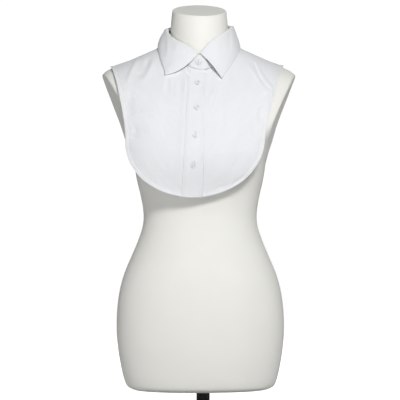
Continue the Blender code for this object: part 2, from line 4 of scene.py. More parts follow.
import bmesh
import bpy
import numpy
from mathutils import Matrix, Vector


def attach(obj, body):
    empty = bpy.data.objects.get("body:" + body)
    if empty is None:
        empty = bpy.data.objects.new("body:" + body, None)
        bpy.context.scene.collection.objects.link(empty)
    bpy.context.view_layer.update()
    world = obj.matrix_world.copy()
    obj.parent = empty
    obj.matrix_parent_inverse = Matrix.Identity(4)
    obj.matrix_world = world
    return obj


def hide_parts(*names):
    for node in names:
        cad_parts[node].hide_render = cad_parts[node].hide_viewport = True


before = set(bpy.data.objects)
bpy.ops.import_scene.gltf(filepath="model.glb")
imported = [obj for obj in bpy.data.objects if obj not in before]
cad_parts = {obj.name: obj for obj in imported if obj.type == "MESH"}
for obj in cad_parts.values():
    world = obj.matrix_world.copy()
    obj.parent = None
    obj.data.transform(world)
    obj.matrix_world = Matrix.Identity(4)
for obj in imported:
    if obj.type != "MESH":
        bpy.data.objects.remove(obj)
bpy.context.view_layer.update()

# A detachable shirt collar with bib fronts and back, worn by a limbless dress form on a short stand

# The stand and the dress form, as in the part: metres, +Z up, the wearer faces -Y
FORM_FOOT = 0.160
BASE_RADIUS = 0.160
BASE_THICK = 0.012
BASE_EDGE = 0.003
POLE_RADIUS = 0.0135
POLE_PLACE = (0.0072, 0.006)
ARM_PLATE_X = 0.1914
ARM_PLATE_TOP = 0.627
ARM_PLATE_LEAN = 0.390
ARM_PLATE_TURN = 0.167
ARM_PLATE_BACK = 0.020
ARM_PLATE_SOFT = 0.004
ARM_PLATE_FLARE = 0.415
ARM_PLATE_FLARE_TOP = 0.545
ARM_PLATE_FLARE_POWER = 1.5
ARM_PLATE_FOOT = 0.450
FORM_LEAN = 0.0035

# The cloth, as in the part
CLOTH = 0.0012
CLOTH_REST = 0.0014
LAYER = 0.0016
WALL = 0.0008
NECK_ROW = 3.0
SHOULDER_SEAM_TURN = 0.0008
SWING = 4.5
SWING_TOP = 0.52
HEM_HALF_WIDTH = 0.135
HEM_ROUND_TOP = 0.500
HEM_ROUND_DROP = 0.113
SIDE_FLARE = 0.26
FLARE_EASE = 0.030
TIP_REACH = 0.0058
TIP_RISE = 0.149
TIP_SHARPNESS = 6
OUTLINE_X = -0.0048
OUTLINE_LEAN = 0.056
BACK_OUTLINE_LEAN = -0.04
CENTRE_X = -0.0049
CENTRE_TOP = 0.660
CENTRE_LEAN = 0.0644
PLACKET_LEFT = 0.0200
PLACKET_RIGHT = 0.0123
PLACKET_SPREAD = 0.034
UNDERLAP = 0.010
LAP_RAMP_START = 0.036
LAP_RAMP_END = 0.023

# The collar, as in the part
FOLD_HALF_WIDTH = 0.0628
FOLD_MIDDLE_X = 0.0002
FOLD_FRONT_SHIFT = -0.0040
FOLD_LEFT_SAG = 0.0095
FOLD_SIDE_Y = 0.0060
FOLD_FRONT_Y = -0.0585
FOLD_BACK_Y = 0.0690
FOLD_LEFT_SAG_SPREAD = 0.8
FOLD_SIDE_TOP = 0.7290
FOLD_SIDE_LEAN = 0.0030
FOLD_FRONT_FALL = 0.0295
FOLD_NOTCH_FALL = 0.029
FOLD_NOTCH_TIP = 0.08
FOLD_NOTCH_WIDE = 0.235
FOLD_BACK_RISE = 0.0180
STAND_FOOT_LIFT = 0.0004
STAND_FIRST_TURN = -0.16
STAND_LAP_TURN = 0.21
STAND_LAP_RISES = (0.55, 0.25)
BUTTON_RADIUS = 0.0055
BUTTON_THICK = 0.0022
BUTTON_CLEARANCE = 0.0003
STAND_BUTTON_TURN = -0.045
STAND_BUTTON_HEIGHT = 0.6556
PLACKET_BUTTON_HEIGHTS = (0.6132, 0.5640, 0.5086, 0.4506)

FormRow = namedtuple("FormRow", "side_x side_y side_z front_y front_z back_y back_z square sweep")
FORM_ROWS = numpy.array([
    FormRow(0.0550, 0.0020, 0.7620, -0.0520, 0.7450, 0.0560, 0.7790, 2.00, 1.0),
    FormRow(0.0572, 0.0035, 0.7400, -0.0530, 0.7200, 0.0590, 0.7590, 2.00, 1.0),
    FormRow(0.0595, 0.0055, 0.7170, -0.0540, 0.6850, 0.0630, 0.7350, 2.00, 1.2),
    FormRow(0.0660, 0.0080, 0.6970, -0.0575, 0.6400, 0.0690, 0.7110, 2.00, 1.7),
    FormRow(0.0850, 0.0110, 0.6860, -0.0620, 0.6270, 0.0770, 0.6985, 2.00, 2.0),
    FormRow(0.1090, 0.0140, 0.6755, -0.0675, 0.6130, 0.0860, 0.6820, 2.00, 2.0),
    FormRow(0.1400, 0.0180, 0.6620, -0.0745, 0.5980, 0.0940, 0.6610, 2.05, 2.0),
    FormRow(0.1700, 0.0210, 0.6512, -0.0825, 0.5820, 0.1000, 0.6380, 2.10, 2.0),
    FormRow(0.1890, 0.0220, 0.6420, -0.0900, 0.5650, 0.1045, 0.6140, 2.20, 2.0),
    FormRow(0.2010, 0.0220, 0.6260, -0.0985, 0.5460, 0.1075, 0.5870, 2.30, 2.0),
    FormRow(0.2050, 0.0200, 0.5920, -0.1080, 0.5250, 0.1085, 0.5580, 2.30, 2.0),
    FormRow(0.1980, 0.0170, 0.5600, -0.1165, 0.5060, 0.1075, 0.5290, 2.30, 2.0),
    FormRow(0.1760, 0.0140, 0.5300, -0.1220, 0.4880, 0.1050, 0.5010, 2.25, 2.0),
    FormRow(0.1510, 0.0100, 0.5000, -0.1230, 0.4680, 0.1010, 0.4740, 2.20, 2.0),
    FormRow(0.1352, 0.0050, 0.4610, -0.1150, 0.4400, 0.0940, 0.4420, 2.15, 2.0),
    FormRow(0.1270, 0.0020, 0.4200, -0.1010, 0.4080, 0.0860, 0.4100, 2.15, 2.0),
    FormRow(0.1195, 0.0000, 0.3880, -0.0905, 0.3800, 0.0790, 0.3800, 2.15, 2.0),
    FormRow(0.1145, 0.0000, 0.3560, -0.0855, 0.3540, 0.0755, 0.3540, 2.15, 2.0),
    FormRow(0.1160, 0.0000, 0.3290, -0.0855, 0.3290, 0.0760, 0.3290, 2.15, 2.0),
    FormRow(0.1257, 0.0010, 0.2990, -0.0875, 0.2990, 0.0825, 0.2990, 2.20, 2.0),
    FormRow(0.1392, 0.0030, 0.2670, -0.0915, 0.2670, 0.0935, 0.2670, 2.20, 2.0),
    FormRow(0.1529, 0.0050, 0.2345, -0.0960, 0.2345, 0.1055, 0.2345, 2.25, 2.0),
    FormRow(0.1630, 0.0060, 0.1980, -0.0995, 0.1980, 0.1145, 0.1980, 2.25, 2.0),
    FormRow(0.1682, 0.0070, 0.1580, -0.1010, 0.1580, 0.1195, 0.1580, 2.30, 2.0),
    FormRow(0.1691, 0.0070, 0.1200, -0.1005, 0.1200, 0.1195, 0.1200, 2.30, 2.0),
    FormRow(0.1665, 0.0070, 0.0810, -0.0980, 0.0810, 0.1155, 0.0810, 2.30, 2.0),
    FormRow(0.1600, 0.0060, 0.0430, -0.0935, 0.0430, 0.1085, 0.0430, 2.30, 2.0),
    FormRow(0.1540, 0.0060, 0.0190, -0.0895, 0.0190, 0.1030, 0.0190, 2.30, 2.0),
    FormRow(0.1475, 0.0060, 0.0060, -0.0850, 0.0060, 0.0980, 0.0060, 2.30, 2.0),
    FormRow(0.1350, 0.0060, 0.0000, -0.0750, 0.0000, 0.0880, 0.0000, 2.30, 2.0),
])

# How far the cloth's rows stand off the form's rows at the front, the side and the back,
# and how much squarer they are where the cloth hangs free
Ease = namedtuple("Ease", "row front side back square")
CLOTH_EASE = [
    Ease(5, 0.0020, 0.0000, 0.0000, 0.00),
    Ease(6, 0.0035, 0.0006, 0.0004, 0.00),
    Ease(7, 0.0044, 0.0016, 0.0010, 0.00),
    Ease(8, 0.0048, 0.0026, 0.0016, 0.00),
    Ease(9, 0.0035, 0.0035, 0.0015, 0.00),
    Ease(10, 0.0020, 0.0050, 0.0030, 0.00),
    Ease(11, 0.0010, 0.0100, 0.0060, 0.05),
    Ease(12, 0.0005, 0.0240, 0.0110, 0.15),
    Ease(13, 0.0030, 0.0420, 0.0180, 0.30),
    Ease(14, 0.0080, 0.0550, 0.0260, 0.45),
    Ease(15, 0.0130, 0.0610, 0.0330, 0.55),
    Ease(16, 0.0175, 0.0670, 0.0400, 0.55),
    Ease(17, 0.0200, 0.0710, 0.0430, 0.55),
]

# The leaf from its right-hand end round the back to its left-hand end, turns in degrees
LeafRow = namedtuple("LeafRow", "fold_turn edge_turn edge_row lift bow swell")
LEAF_ROWS = numpy.array([
    LeafRow(1.5, 21.2, 5.08, 0.0030, -0.0050, 0.0000),
    LeafRow(15.0, 29.7, 4.65, 0.0026, -0.0030, 0.0004),
    LeafRow(30.0, 40.8, 4.28, 0.0024, -0.0010, 0.0012),
    LeafRow(46.0, 52.5, 4.06, 0.0022, 0.0000, 0.0016),
    LeafRow(68.0, 69.5, 3.88, 0.0022, 0.0000, 0.0004),
    LeafRow(90.0, 90.0, 3.76, 0.0022, 0.0000, 0.0004),
    LeafRow(135.0, 135.0, 3.65, 0.0022, 0.0000, 0.0030),
    LeafRow(180.0, 180.0, 3.60, 0.0022, 0.0000, 0.0040),
    LeafRow(225.0, 225.0, 3.70, 0.0022, 0.0000, 0.0033),
    LeafRow(270.0, 270.0, 3.83, 0.0022, 0.0000, 0.0027),
    LeafRow(290.0, 290.0, 4.08, 0.0022, 0.0000, 0.0026),
    LeafRow(310.0, 304.5, 4.46, 0.0022, 0.0005, 0.0023),
    LeafRow(328.0, 315.2, 4.87, 0.0024, 0.0020, 0.0014),
    LeafRow(342.0, 321.5, 5.20, 0.0026, 0.0045, 0.0006),
    LeafRow(357.5, 324.8, 5.465, 0.0028, 0.0085, 0.0000),
])

# The leaf's section from inside the stand, over the fold and down to its edge
LeafStep = namedtuple("LeafStep", "down out up swell")
LEAF_SECTION = numpy.array([
    LeafStep(0.00, -0.0014, -0.0024, 0.00),
    LeafStep(0.00, -0.0012, 0.0002, 0.00),
    LeafStep(0.00, 0.0000, 0.0019, 0.00),
    LeafStep(0.01, 0.0016, 0.0034, 0.04),
    LeafStep(0.06, 0.0038, 0.0036, 0.25),
    LeafStep(0.16, 0.0042, 0.0016, 0.65),
    LeafStep(0.36, 0.0040, 0.0000, 1.00),
    LeafStep(0.60, 0.0031, 0.0000, 0.85),
    LeafStep(0.82, 0.0016, 0.0000, 0.45),
    LeafStep(1.00, 0.0000, 0.0000, 0.00),
])

# The rows between which the shoulder tip, the hem's corner and the hem itself lie
TIP_ROWS = (5.0, 9.0)
CORNER_ROWS = (8.0, 16.5)
HEM_ROWS = (10.0, 16.9)
HEM_BEND = 3
ROWS_CLOSER = 1.7
TINY_TURN = 0.004
TINY_ROW = 0.02
HALVINGS = 40


def at(table, position):
    """Read a table's rows at fractional positions, along a smooth curve through them."""
    position = numpy.asarray(position, float)
    last = len(table) - 1
    index = numpy.clip(numpy.floor(position).astype(int), 0, last - 1)
    part = (position - index)[..., None]
    before = table[numpy.maximum(index - 1, 0)]
    start = table[index]
    end = table[index + 1]
    after = table[numpy.minimum(index + 2, last)]
    curve = 2 * before - 5 * start + 4 * end - after + part * (3 * (start - end) + after - before)
    return start + 0.5 * part * (end - before + part * curve)


def unit(vectors):
    """Vectors of length 1."""
    return vectors / numpy.linalg.norm(vectors, axis=-1, keepdims=True)


def row_point(table, position, turn):
    """Points of a table's rows at turns round the body: 0 at the front, a quarter turn at +X."""
    position, turn = numpy.broadcast_arrays(position, turn)
    row = FormRow(*numpy.moveaxis(at(table, position), -1, 0))
    sine = numpy.sin(turn)
    cosine = numpy.cos(turn)
    power = 2 / row.square
    ahead = cosine >= 0
    end_y = numpy.where(ahead, row.front_y, row.back_y)
    end_z = numpy.where(ahead, row.front_z, row.back_z)
    x = numpy.sign(sine) * numpy.abs(sine) ** power * row.side_x
    y = row.side_y + (end_y - row.side_y) * numpy.abs(cosine) ** power
    z = row.side_z + (end_z - row.side_z) * numpy.abs(cosine) ** row.sweep
    return numpy.stack([x - FORM_LEAN * (z - ARM_PLATE_TOP), y, z + FORM_FOOT], -1)


def form_point(position, turn):
    """Points of the dress form, with its arm plates cut flat."""
    point = row_point(FORM_ROWS, position, turn)
    x, y, z = numpy.moveaxis(point, -1, 0)
    plate = ARM_PLATE_X - ARM_PLATE_LEAN * (ARM_PLATE_TOP + FORM_FOOT - z)
    plate = plate + ARM_PLATE_TURN * numpy.minimum(y, ARM_PLATE_BACK)
    under = numpy.maximum(ARM_PLATE_FLARE_TOP + FORM_FOOT - z, 0)
    plate = plate + ARM_PLATE_FLARE * under ** ARM_PLATE_FLARE_POWER
    share = numpy.clip(0.5 + 0.5 * (plate - numpy.abs(x)) / ARM_PLATE_SOFT, 0, 1)
    least = plate + (numpy.abs(x) - plate) * share - ARM_PLATE_SOFT * share * (1 - share)
    point[..., 0] = numpy.where(z > FORM_FOOT + ARM_PLATE_FOOT, numpy.sign(x) * least, x)
    return point


def eased_rows():
    """The form's rows let out by the cloth's ease."""
    rows = FORM_ROWS[: CLOTH_EASE[-1].row + 1].copy()
    for ease in CLOTH_EASE:
        rows[ease.row, FormRow._fields.index("side_x")] += ease.side
        rows[ease.row, FormRow._fields.index("front_y")] -= ease.front
        rows[ease.row, FormRow._fields.index("back_y")] += ease.back
        rows[ease.row, FormRow._fields.index("square")] += ease.square
    return rows


CLOTH_ROWS = eased_rows()


def hanging_point(position, turn):
    """Points of the cloth's rows; the free lower part swings nearer the form at the picture's right."""
    point = row_point(CLOTH_ROWS, position, turn)
    under = numpy.maximum(SWING_TOP + FORM_FOOT - point[..., 2], 0)
    point[..., 1] += SWING * point[..., 0] * under ** 2
    return point


def cloth_point(position, turn, lift=0.0):
    """Points of the surface that the cloth hangs on, moved out by a lift."""
    point = hanging_point(position, turn)
    down = hanging_point(position + TINY_ROW, turn) - point
    sideways = hanging_point(position, turn + TINY_TURN) - point
    return point + unit(numpy.cross(down, sideways)) * (CLOTH_REST + numpy.asarray(lift)[..., None])


def solve(function, low, high):
    """Where a rising function crosses zero, for one value or for many at once."""
    low, high = numpy.broadcast_arrays(numpy.asarray(low, float), numpy.asarray(high, float))
    for _ in range(HALVINGS):
        middle = 0.5 * (low + high)
        short = function(middle) < 0
        low = numpy.where(short, middle, low)
        high = numpy.where(short, high, middle)
    return 0.5 * (low + high)


def centre_line(z):
    """The line of the buttons, which leans to the picture's left."""
    return CENTRE_X - CENTRE_LEAN * (CENTRE_TOP + FORM_FOOT - z)


def outline_line(z, facing):
    """The middle of the outline: the fronts hang a little to the picture's left, the back to its right."""
    lean = numpy.where(numpy.asarray(facing) > 0, OUTLINE_LEAN, BACK_OUTLINE_LEAN)
    return OUTLINE_X - lean * (CENTRE_TOP + FORM_FOOT - z)


def half_width(z):
    """Half the garment's width at a height, from the round hem to the shoulder tip."""
    above = z - FORM_FOOT - HEM_ROUND_TOP
    rise = numpy.maximum(above, 0)
    side = HEM_HALF_WIDTH + SIDE_FLARE * rise * rise / (rise + FLARE_EASE)
    side = side + TIP_REACH * (rise / TIP_RISE) ** TIP_SHARPNESS
    drop = numpy.clip(-above / HEM_ROUND_DROP, 0, 1)
    return numpy.where(above >= 0, side, HEM_HALF_WIDTH * numpy.sqrt(1 - drop * drop))


def edge_turn(position, side, facing):
    """The turns at which rows meet the outer edge, or the shoulder seam where they reach that first."""
    def beyond(turn):
        point = row_point(CLOTH_ROWS, position, turn)
        return side * (point[..., 0] - outline_line(point[..., 2], facing)) - half_width(point[..., 2])

    seam = side * (math.pi / 2 - facing * SHOULDER_SEAM_TURN)
    middle = 0.0 if facing > 0 else side * math.pi
    nothing = numpy.zeros_like(position)
    share = solve(lambda share: beyond(middle + (seam - middle) * share), nothing, nothing + 1)
    return numpy.where(beyond(nothing + seam) <= 0, seam, middle + (seam - middle) * share)


def turn_at(position, x_from_centre):
    """The turns at which rows are a given way across from the line of the buttons."""
    def beyond(turn):
        point = row_point(CLOTH_ROWS, position, turn)
        return point[..., 0] - centre_line(point[..., 2]) - x_from_centre

    return solve(beyond, numpy.full_like(position, -math.pi / 2), numpy.full_like(position, math.pi / 2))


def hem_row(turn):
    """The rows at which turns meet the round hem."""
    def below(position):
        point = row_point(CLOTH_ROWS, position, turn)
        middle = outline_line(point[..., 2], numpy.cos(turn))
        across = numpy.abs(point[..., 0] - middle) / HEM_HALF_WIDTH
        hem = HEM_ROUND_TOP - HEM_ROUND_DROP * numpy.sqrt(numpy.maximum(1 - across * across, 0))
        return hem + FORM_FOOT - point[..., 2]

    nothing = numpy.zeros_like(turn)
    return solve(below, nothing + HEM_ROWS[0], nothing + HEM_ROWS[1])


def smooth_step(value, low, high):
    """0 below the low value, 1 above the high one, eased between."""
    share = numpy.clip((value - low) / (high - low), 0, 1)
    return share * share * (3 - 2 * share)


def right_edge(position):
    """How far the lapping edge goes past the line of the buttons, a little more towards the hem."""
    z = row_point(CLOTH_ROWS, position, 0.0)[..., 2]
    return PLACKET_RIGHT + PLACKET_SPREAD * (CENTRE_TOP + FORM_FOOT - z)


def fold_point(turn):
    """Points of the stand's top edge, which dips to a notch at the front and sags on the wearer's right."""
    sine = numpy.sin(turn)
    cosine = numpy.cos(turn)
    ahead = numpy.maximum(cosine, 0)
    behind = ahead - cosine
    from_front = numpy.hypot(numpy.arctan2(sine, cosine), FOLD_NOTCH_TIP) - FOLD_NOTCH_TIP
    x = FOLD_MIDDLE_X + FOLD_HALF_WIDTH * sine + FOLD_FRONT_SHIFT * ahead
    y = FOLD_SIDE_Y + (FOLD_FRONT_Y - FOLD_SIDE_Y) * ahead + (FOLD_BACK_Y - FOLD_SIDE_Y) * behind
    z = FOLD_SIDE_TOP + FOLD_SIDE_LEAN * sine
    z = z + FOLD_BACK_RISE * behind ** 2 - FOLD_FRONT_FALL * ahead ** 1.5
    z = z - FOLD_NOTCH_FALL * numpy.exp(-from_front / FOLD_NOTCH_WIDE)
    z = z - FOLD_LEFT_SAG * numpy.maximum(-2 * sine * ahead, 0) ** FOLD_LEFT_SAG_SPREAD
    return numpy.stack([x, y, z + FORM_FOOT], -1)


def stand_foot(turn):
    """Points of the stand's lower edge, just above the neckline."""
    return cloth_point(NECK_ROW, turn) + numpy.array([0.0, 0.0, STAND_FOOT_LIFT])


def leaf_row(share):
    """The leaf's rows at shares of the way from its right-hand end to its left-hand one."""
    return LeafRow(*numpy.moveaxis(at(LEAF_ROWS, (len(LEAF_ROWS) - 1) * numpy.asarray(share)), -1, 0))


# Creases as they lie when seen from the front or from behind, in mm: x, and z above the form's underside
Crease = namedtuple("Crease", "path width height")

RIGHT_FRONT_CREASES = [
    Crease([(-126, 661), (-136, 640), (-146, 614)], 5.0, 2.4),
    Crease([(-92, 660), (-104, 634), (-113, 618)], 6.0, 2.25),
    Crease([(-103, 664), (-110, 646)], 5.0, -1.8),
    Crease([(-118, 636), (-124, 626)], 7.0, -1.5),
    Crease([(-140, 594), (-143, 566), (-139, 540)], 9.0, -2.1),
    Crease([(-134, 587), (-126, 586)], 2.0, -0.9),
    Crease([(-130, 530), (-134, 500)], 7.0, -1.5),
    Crease([(-73, 626), (-32, 644)], 5.0, 1.95),
    Crease([(-36, 642), (-18, 620)], 4.0, 1.65),
    Crease([(-66, 622), (-68, 592)], 4.5, -1.2),
    Crease([(-50, 612), (-50, 586)], 4.0, 1.05),
    Crease([(-31, 618), (-34, 594)], 4.0, 1.2),
    Crease([(-22, 604), (-24, 570)], 3.0, -0.9),
    Crease([(-82, 590), (-96, 560), (-104, 520)], 14.0, 1.5),
    Crease([(-60, 560), (-72, 520), (-84, 480)], 16.0, -1.2),
    Crease([(-42, 520), (-48, 470), (-56, 430)], 12.0, 1.05),
    Crease([(-142, 547), (-112, 552), (-80, 546)], 5.0, 1.1),
    Crease([(-140, 519), (-110, 515)], 5.0, -1.1),
]
LEFT_FRONT_CREASES = [
    Crease([(20, 632), (26, 604), (18, 572), (10, 540)], 7.0, 2.1),
    Crease([(37, 616), (28, 586), (21, 560), (14, 536)], 5.0, -1.95),
    Crease([(41, 552), (42, 510)], 4.0, -0.9),
    Crease([(106, 657), (114, 634), (126, 612), (137, 600), (139, 578), (136, 560)], 2.2, -2.8),
    Crease([(110, 659), (118, 638), (130, 615), (141, 603), (143, 580), (140, 562)], 3.4, 2.0),
    Crease([(98, 648), (108, 628), (122, 606), (131, 592)], 5.0, 1.8),
    Crease([(122, 598), (131, 586), (129, 570), (127, 540)], 4.0, 1.65),
    Crease([(132, 592), (116, 582), (104, 572)], 5.0, -1.5),
    Crease([(116, 564), (114, 540)], 5.0, -2.2),
    Crease([(103, 530), (101, 505)], 5.0, -2.0),
    Crease([(112, 500), (114, 470)], 5.0, -1.05),
    Crease([(154, 634), (150, 612)], 6.0, 1.35),
    Crease([(142, 640), (146, 600), (143, 570)], 5.0, 0.9),
    Crease([(64, 466), (58, 438)], 8.0, -1.2),
    Crease([(56, 410), (82, 428)], 3.0, -1.8),
    Crease([(26, 404), (42, 410)], 3.0, -1.2),
    Crease([(60, 620), (70, 560), (72, 500)], 15.0, 1.2),
    Crease([(88, 600), (90, 540), (84, 480)], 12.0, -0.9),
]
LEAF_CREASES = [
    Crease([(57, 724), (58, 700), (56, 680)], 4.0, -0.9),
    Crease([(64, 716), (65, 690)], 3.0, 0.5),
    Crease([(-64, 720), (-66, 676)], 3.5, 0.9),
    Crease([(-72, 700), (-74, 672)], 4.0, -0.8),
    Crease([(-44, 700), (-52, 676)], 6.0, 0.8),
    Crease([(-60, 664), (-72, 648)], 6.0, -0.8),
    Crease([(20, 670), (36, 650)], 6.0, -0.6),
]
PLACKET_CREASES = [
    Crease([(-2, 604), (7, 603)], 1.5, -0.35),
    Crease([(2, 434), (-1, 396)], 3.0, 0.6),
    Crease([(5.5, 434), (3, 396)], 1.5, -0.5),
    Crease([(-16, 560), (-18, 520)], 3.0, -0.4),
]
BACK_CREASES = [
    Crease([(-66, 690), (-92, 640), (-104, 590)], 7.0, 1.82),
    Crease([(-40, 694), (-52, 650), (-56, 600)], 9.0, -1.3),
    Crease([(58, 690), (80, 650), (88, 610)], 7.0, 1.56),
    Crease([(30, 696), (38, 660), (34, 600), (40, 540)], 8.0, -1.43),
    Crease([(-12, 680), (-16, 620), (-10, 560), (-18, 500)], 10.0, 1.17),
    Crease([(104, 640), (128, 600), (132, 560)], 5.0, -1.43),
    Crease([(120, 650), (142, 612)], 5.0, 1.3),
    Crease([(-128, 640), (-140, 600), (-134, 556)], 5.0, -1.3),
    Crease([(-84, 560), (-92, 500), (-80, 450)], 10.0, 1.17),
    Crease([(72, 540), (80, 480), (66, 430)], 11.0, 1.17),
    Crease([(16, 520), (24, 460), (14, 410)], 12.0, -1.04),
    Crease([(-44, 480), (-50, 430)], 8.0, -0.78),
]
HEM_WIDE = 0.0070
HEM_RAISED = 0.0004
HEM_FLARE = 0.0012
HEM_GROOVE = 0.0004
HEM_GROOVE_WIDE = 0.0007
SEAM_GROOVE = 0.0006
SEAM_GROOVE_WIDE = 0.0016
CREASE_ENDS = 0.7
CREASE_SPANS = 6
CREASE_START = 0.06
CREASE_REACH = 0.88
CREASE_NARROW = 0.8
CREASE_WIDENS = 0.4
MM = 0.001
HEM_STITCH_IN = HEM_WIDE * 0.94
HEM_STEP_FROM = HEM_WIDE * 1.04
HEM_STEP_TO = HEM_WIDE * 0.92
SEAM_STITCH_IN = 0.0018
SEAM_CLEAR = 14
STAND_CLEAR = 6
EDGE_STITCH_IN = 0.0030
EDGE_SINK = 0.0007
EDGE_SINK_WIDE = 0.0040
PLACKET_SOFT = 0.0060
STAND_STITCH_IN = 0.0016
LEAF_STITCH_IN = 0.0050
LEAF_FRONT_FROM = 30
SMALL_FACE = 0.000003

# The cut of what shows, laid flat from the smooth form that each piece has before its creases and hems:
# the widest girth, the longest run and the area at the middle of the wall
Cut = namedtuple("Cut", "width length area")


def crease_lift(points, creases):
    """How far each point is lifted by soft ridges and troughs that fade out at both ends."""
    lift = numpy.zeros(points.shape[:-1])
    place = points[..., (0, 2)] - numpy.array([0.0, FORM_FOOT])
    for crease in creases:
        path = numpy.array(crease.path, float) * MM
        steps = numpy.linspace(0, len(path) - 1, CREASE_SPANS * (len(path) - 1) + 1)
        line = at(path, steps)
        nearest = numpy.full(lift.shape, 1.0)
        along = numpy.zeros(lift.shape)
        for number in range(len(line) - 1):
            start = line[number]
            span = line[number + 1] - start
            share = numpy.clip(((place - start) @ span) / (span @ span), 0, 1)
            away = numpy.linalg.norm(place - start - share[..., None] * span, axis=-1)
            closer = away < nearest
            nearest = numpy.where(closer, away, nearest)
            along = numpy.where(closer, (number + share) / (len(line) - 1), along)
        ends = numpy.sin(math.pi * (CREASE_START + CREASE_REACH * along)) ** CREASE_ENDS
        width = crease.width * MM * (CREASE_NARROW + CREASE_WIDENS * along)
        lift += crease.height * MM * ends * numpy.exp(-((nearest / width) ** 2))
    return lift


def away_from(points, line):
    """How far each point is from the nearest of a line's points."""
    nearest = numpy.full(points.shape[:-1], 1.0)
    for place in line:
        nearest = numpy.minimum(nearest, numpy.linalg.norm(points - place, axis=-1))
    return nearest


def normals_of(points):
    """Outward directions of a grid of points."""
    down = numpy.gradient(points, axis=0)
    across = numpy.gradient(points, axis=1)
    normal = unit(numpy.cross(across, down))
    facing = (normal[..., :2] * points[..., :2]).sum()
    return normal if facing > 0 else -normal


def hem_lift(away):
    """The turned hem: a little thicker and flared, with a groove along its stitching."""
    inside = numpy.clip(1 - away / HEM_WIDE, 0, 1)
    raised = HEM_RAISED * smooth_step(-away, -HEM_STEP_FROM, -HEM_STEP_TO)
    groove = HEM_GROOVE * numpy.exp(-(((away - HEM_STITCH_IN) / HEM_GROOVE_WIDE) ** 2))
    return raised + HEM_FLARE * inside - groove


def panel_grid(side, facing, inner_turn, columns, rows):
    """Rows and turns of one panel from its neckline to its round hem, and the row where its hem begins."""
    def to_corner(position):
        z = row_point(CLOTH_ROWS, position, edge_turn(position, side, facing))[..., 2]
        return HEM_ROUND_TOP - HEM_ROUND_DROP * math.sqrt(0.5) + FORM_FOOT - z

    seam = side * (math.pi / 2 - facing * SHOULDER_SEAM_TURN)
    corner = solve(to_corner, *CORNER_ROWS)

    def past_tip(position):
        return numpy.where(edge_turn(position, side, facing) == seam, -1.0, 1.0)

    tip = solve(past_tip, *TIP_ROWS)
    rows_to_tip = rows // 3
    to_tip = numpy.linspace(NECK_ROW, tip, rows_to_tip + 1)
    rest = numpy.arange(1, rows - rows_to_tip + 1) / (rows - rows_to_tip)
    position = numpy.concatenate([to_tip, tip + (corner - tip) * rest ** ROWS_CLOSER])
    outer = edge_turn(position, side, facing)
    outer[: rows_to_tip + 1] = seam
    inner = inner_turn(position)
    share = numpy.linspace(0, 1, columns + 1)
    hem_inner = inner_turn(hem_row(numpy.full(1, 0.0 if facing > 0 else math.pi)))
    hem_turn = hem_inner + (edge_turn(corner, side, facing) - hem_inner) * share
    bend = ((position - NECK_ROW) / (corner - NECK_ROW)) ** HEM_BEND
    positions = position[:, None] + (hem_row(hem_turn) - corner)[None, :] * bend[:, None]
    turns = inner[:, None] + (outer - inner)[:, None] * share[None, :]
    return positions, turns, rows_to_tip


def grid_piece(name, points, material, wall=WALL):
    """A thin shell from a grid of points on its outer side, with a UV map in metres along the cloth."""
    rows, columns = points.shape[:2]
    across = numpy.zeros((rows, columns))
    down = numpy.zeros((rows, columns))
    across[:, 1:] = numpy.cumsum(numpy.linalg.norm(numpy.diff(points, axis=1), axis=-1), axis=1)
    down[1:] = numpy.cumsum(numpy.linalg.norm(numpy.diff(points, axis=0), axis=-1), axis=0)
    shape = bmesh.new()
    bmesh.ops.create_grid(shape, x_segments=columns - 1, y_segments=rows - 1, size=0.5)
    weave = shape.loops.layers.uv.new("weave")
    places = {}
    for corner in shape.verts:
        i = round((0.5 - corner.co.y) * (rows - 1))
        j = round((corner.co.x + 0.5) * (columns - 1))
        places[corner] = (i, j)
        corner.co = points[i, j]
    for face in shape.faces:
        for loop in face.loops:
            i, j = places[loop.vert]
            loop[weave].uv = (across[i, j], down[i, j])
    shape.normal_update()
    outward = normals_of(points)
    agreed = sum(corner.normal.dot(Vector(outward[places[corner]])) for corner in shape.verts)
    if agreed < 0:
        bmesh.ops.reverse_faces(shape, faces=shape.faces[:])
    piece = finished(name, shape, material)
    if wall:
        shell = piece.modifiers.new("wall", "SOLIDIFY")
        shell.thickness = wall
        shell.offset = -1
    return piece


def finished(name, shape, material, smooth=True):
    """A bmesh made into a named piece that rides on the part."""
    mesh = bpy.data.meshes.new(name)
    shape.normal_update()
    shape.to_mesh(mesh)
    shape.free()
    mesh.materials.append(material)
    for polygon in mesh.polygons:
        polygon.use_smooth = smooth
    piece = bpy.data.objects.new(name, mesh)
    bpy.context.scene.collection.objects.link(piece)
    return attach(piece, "root")


def inset_line(points, edge, distance):
    """A line a distance in from an edge of a sheet, and the sheet's outward directions along it."""
    flat = points.reshape(-1, 3)
    normals = normals_of(points).reshape(-1, 3)
    nearest = [((flat - place) ** 2).sum(-1).argmin() for place in edge]
    inward = numpy.cross(normals[nearest], unit(numpy.gradient(edge, axis=0)))
    if ((flat.mean(0) - edge) * inward).sum() < 0:
        inward = -inward
    line = edge + unit(inward) * distance
    nearest = [((flat - place) ** 2).sum(-1).argmin() for place in line]
    normal = normals[nearest]
    return line - ((line - flat[nearest]) * normal).sum(-1)[:, None] * normal, normal


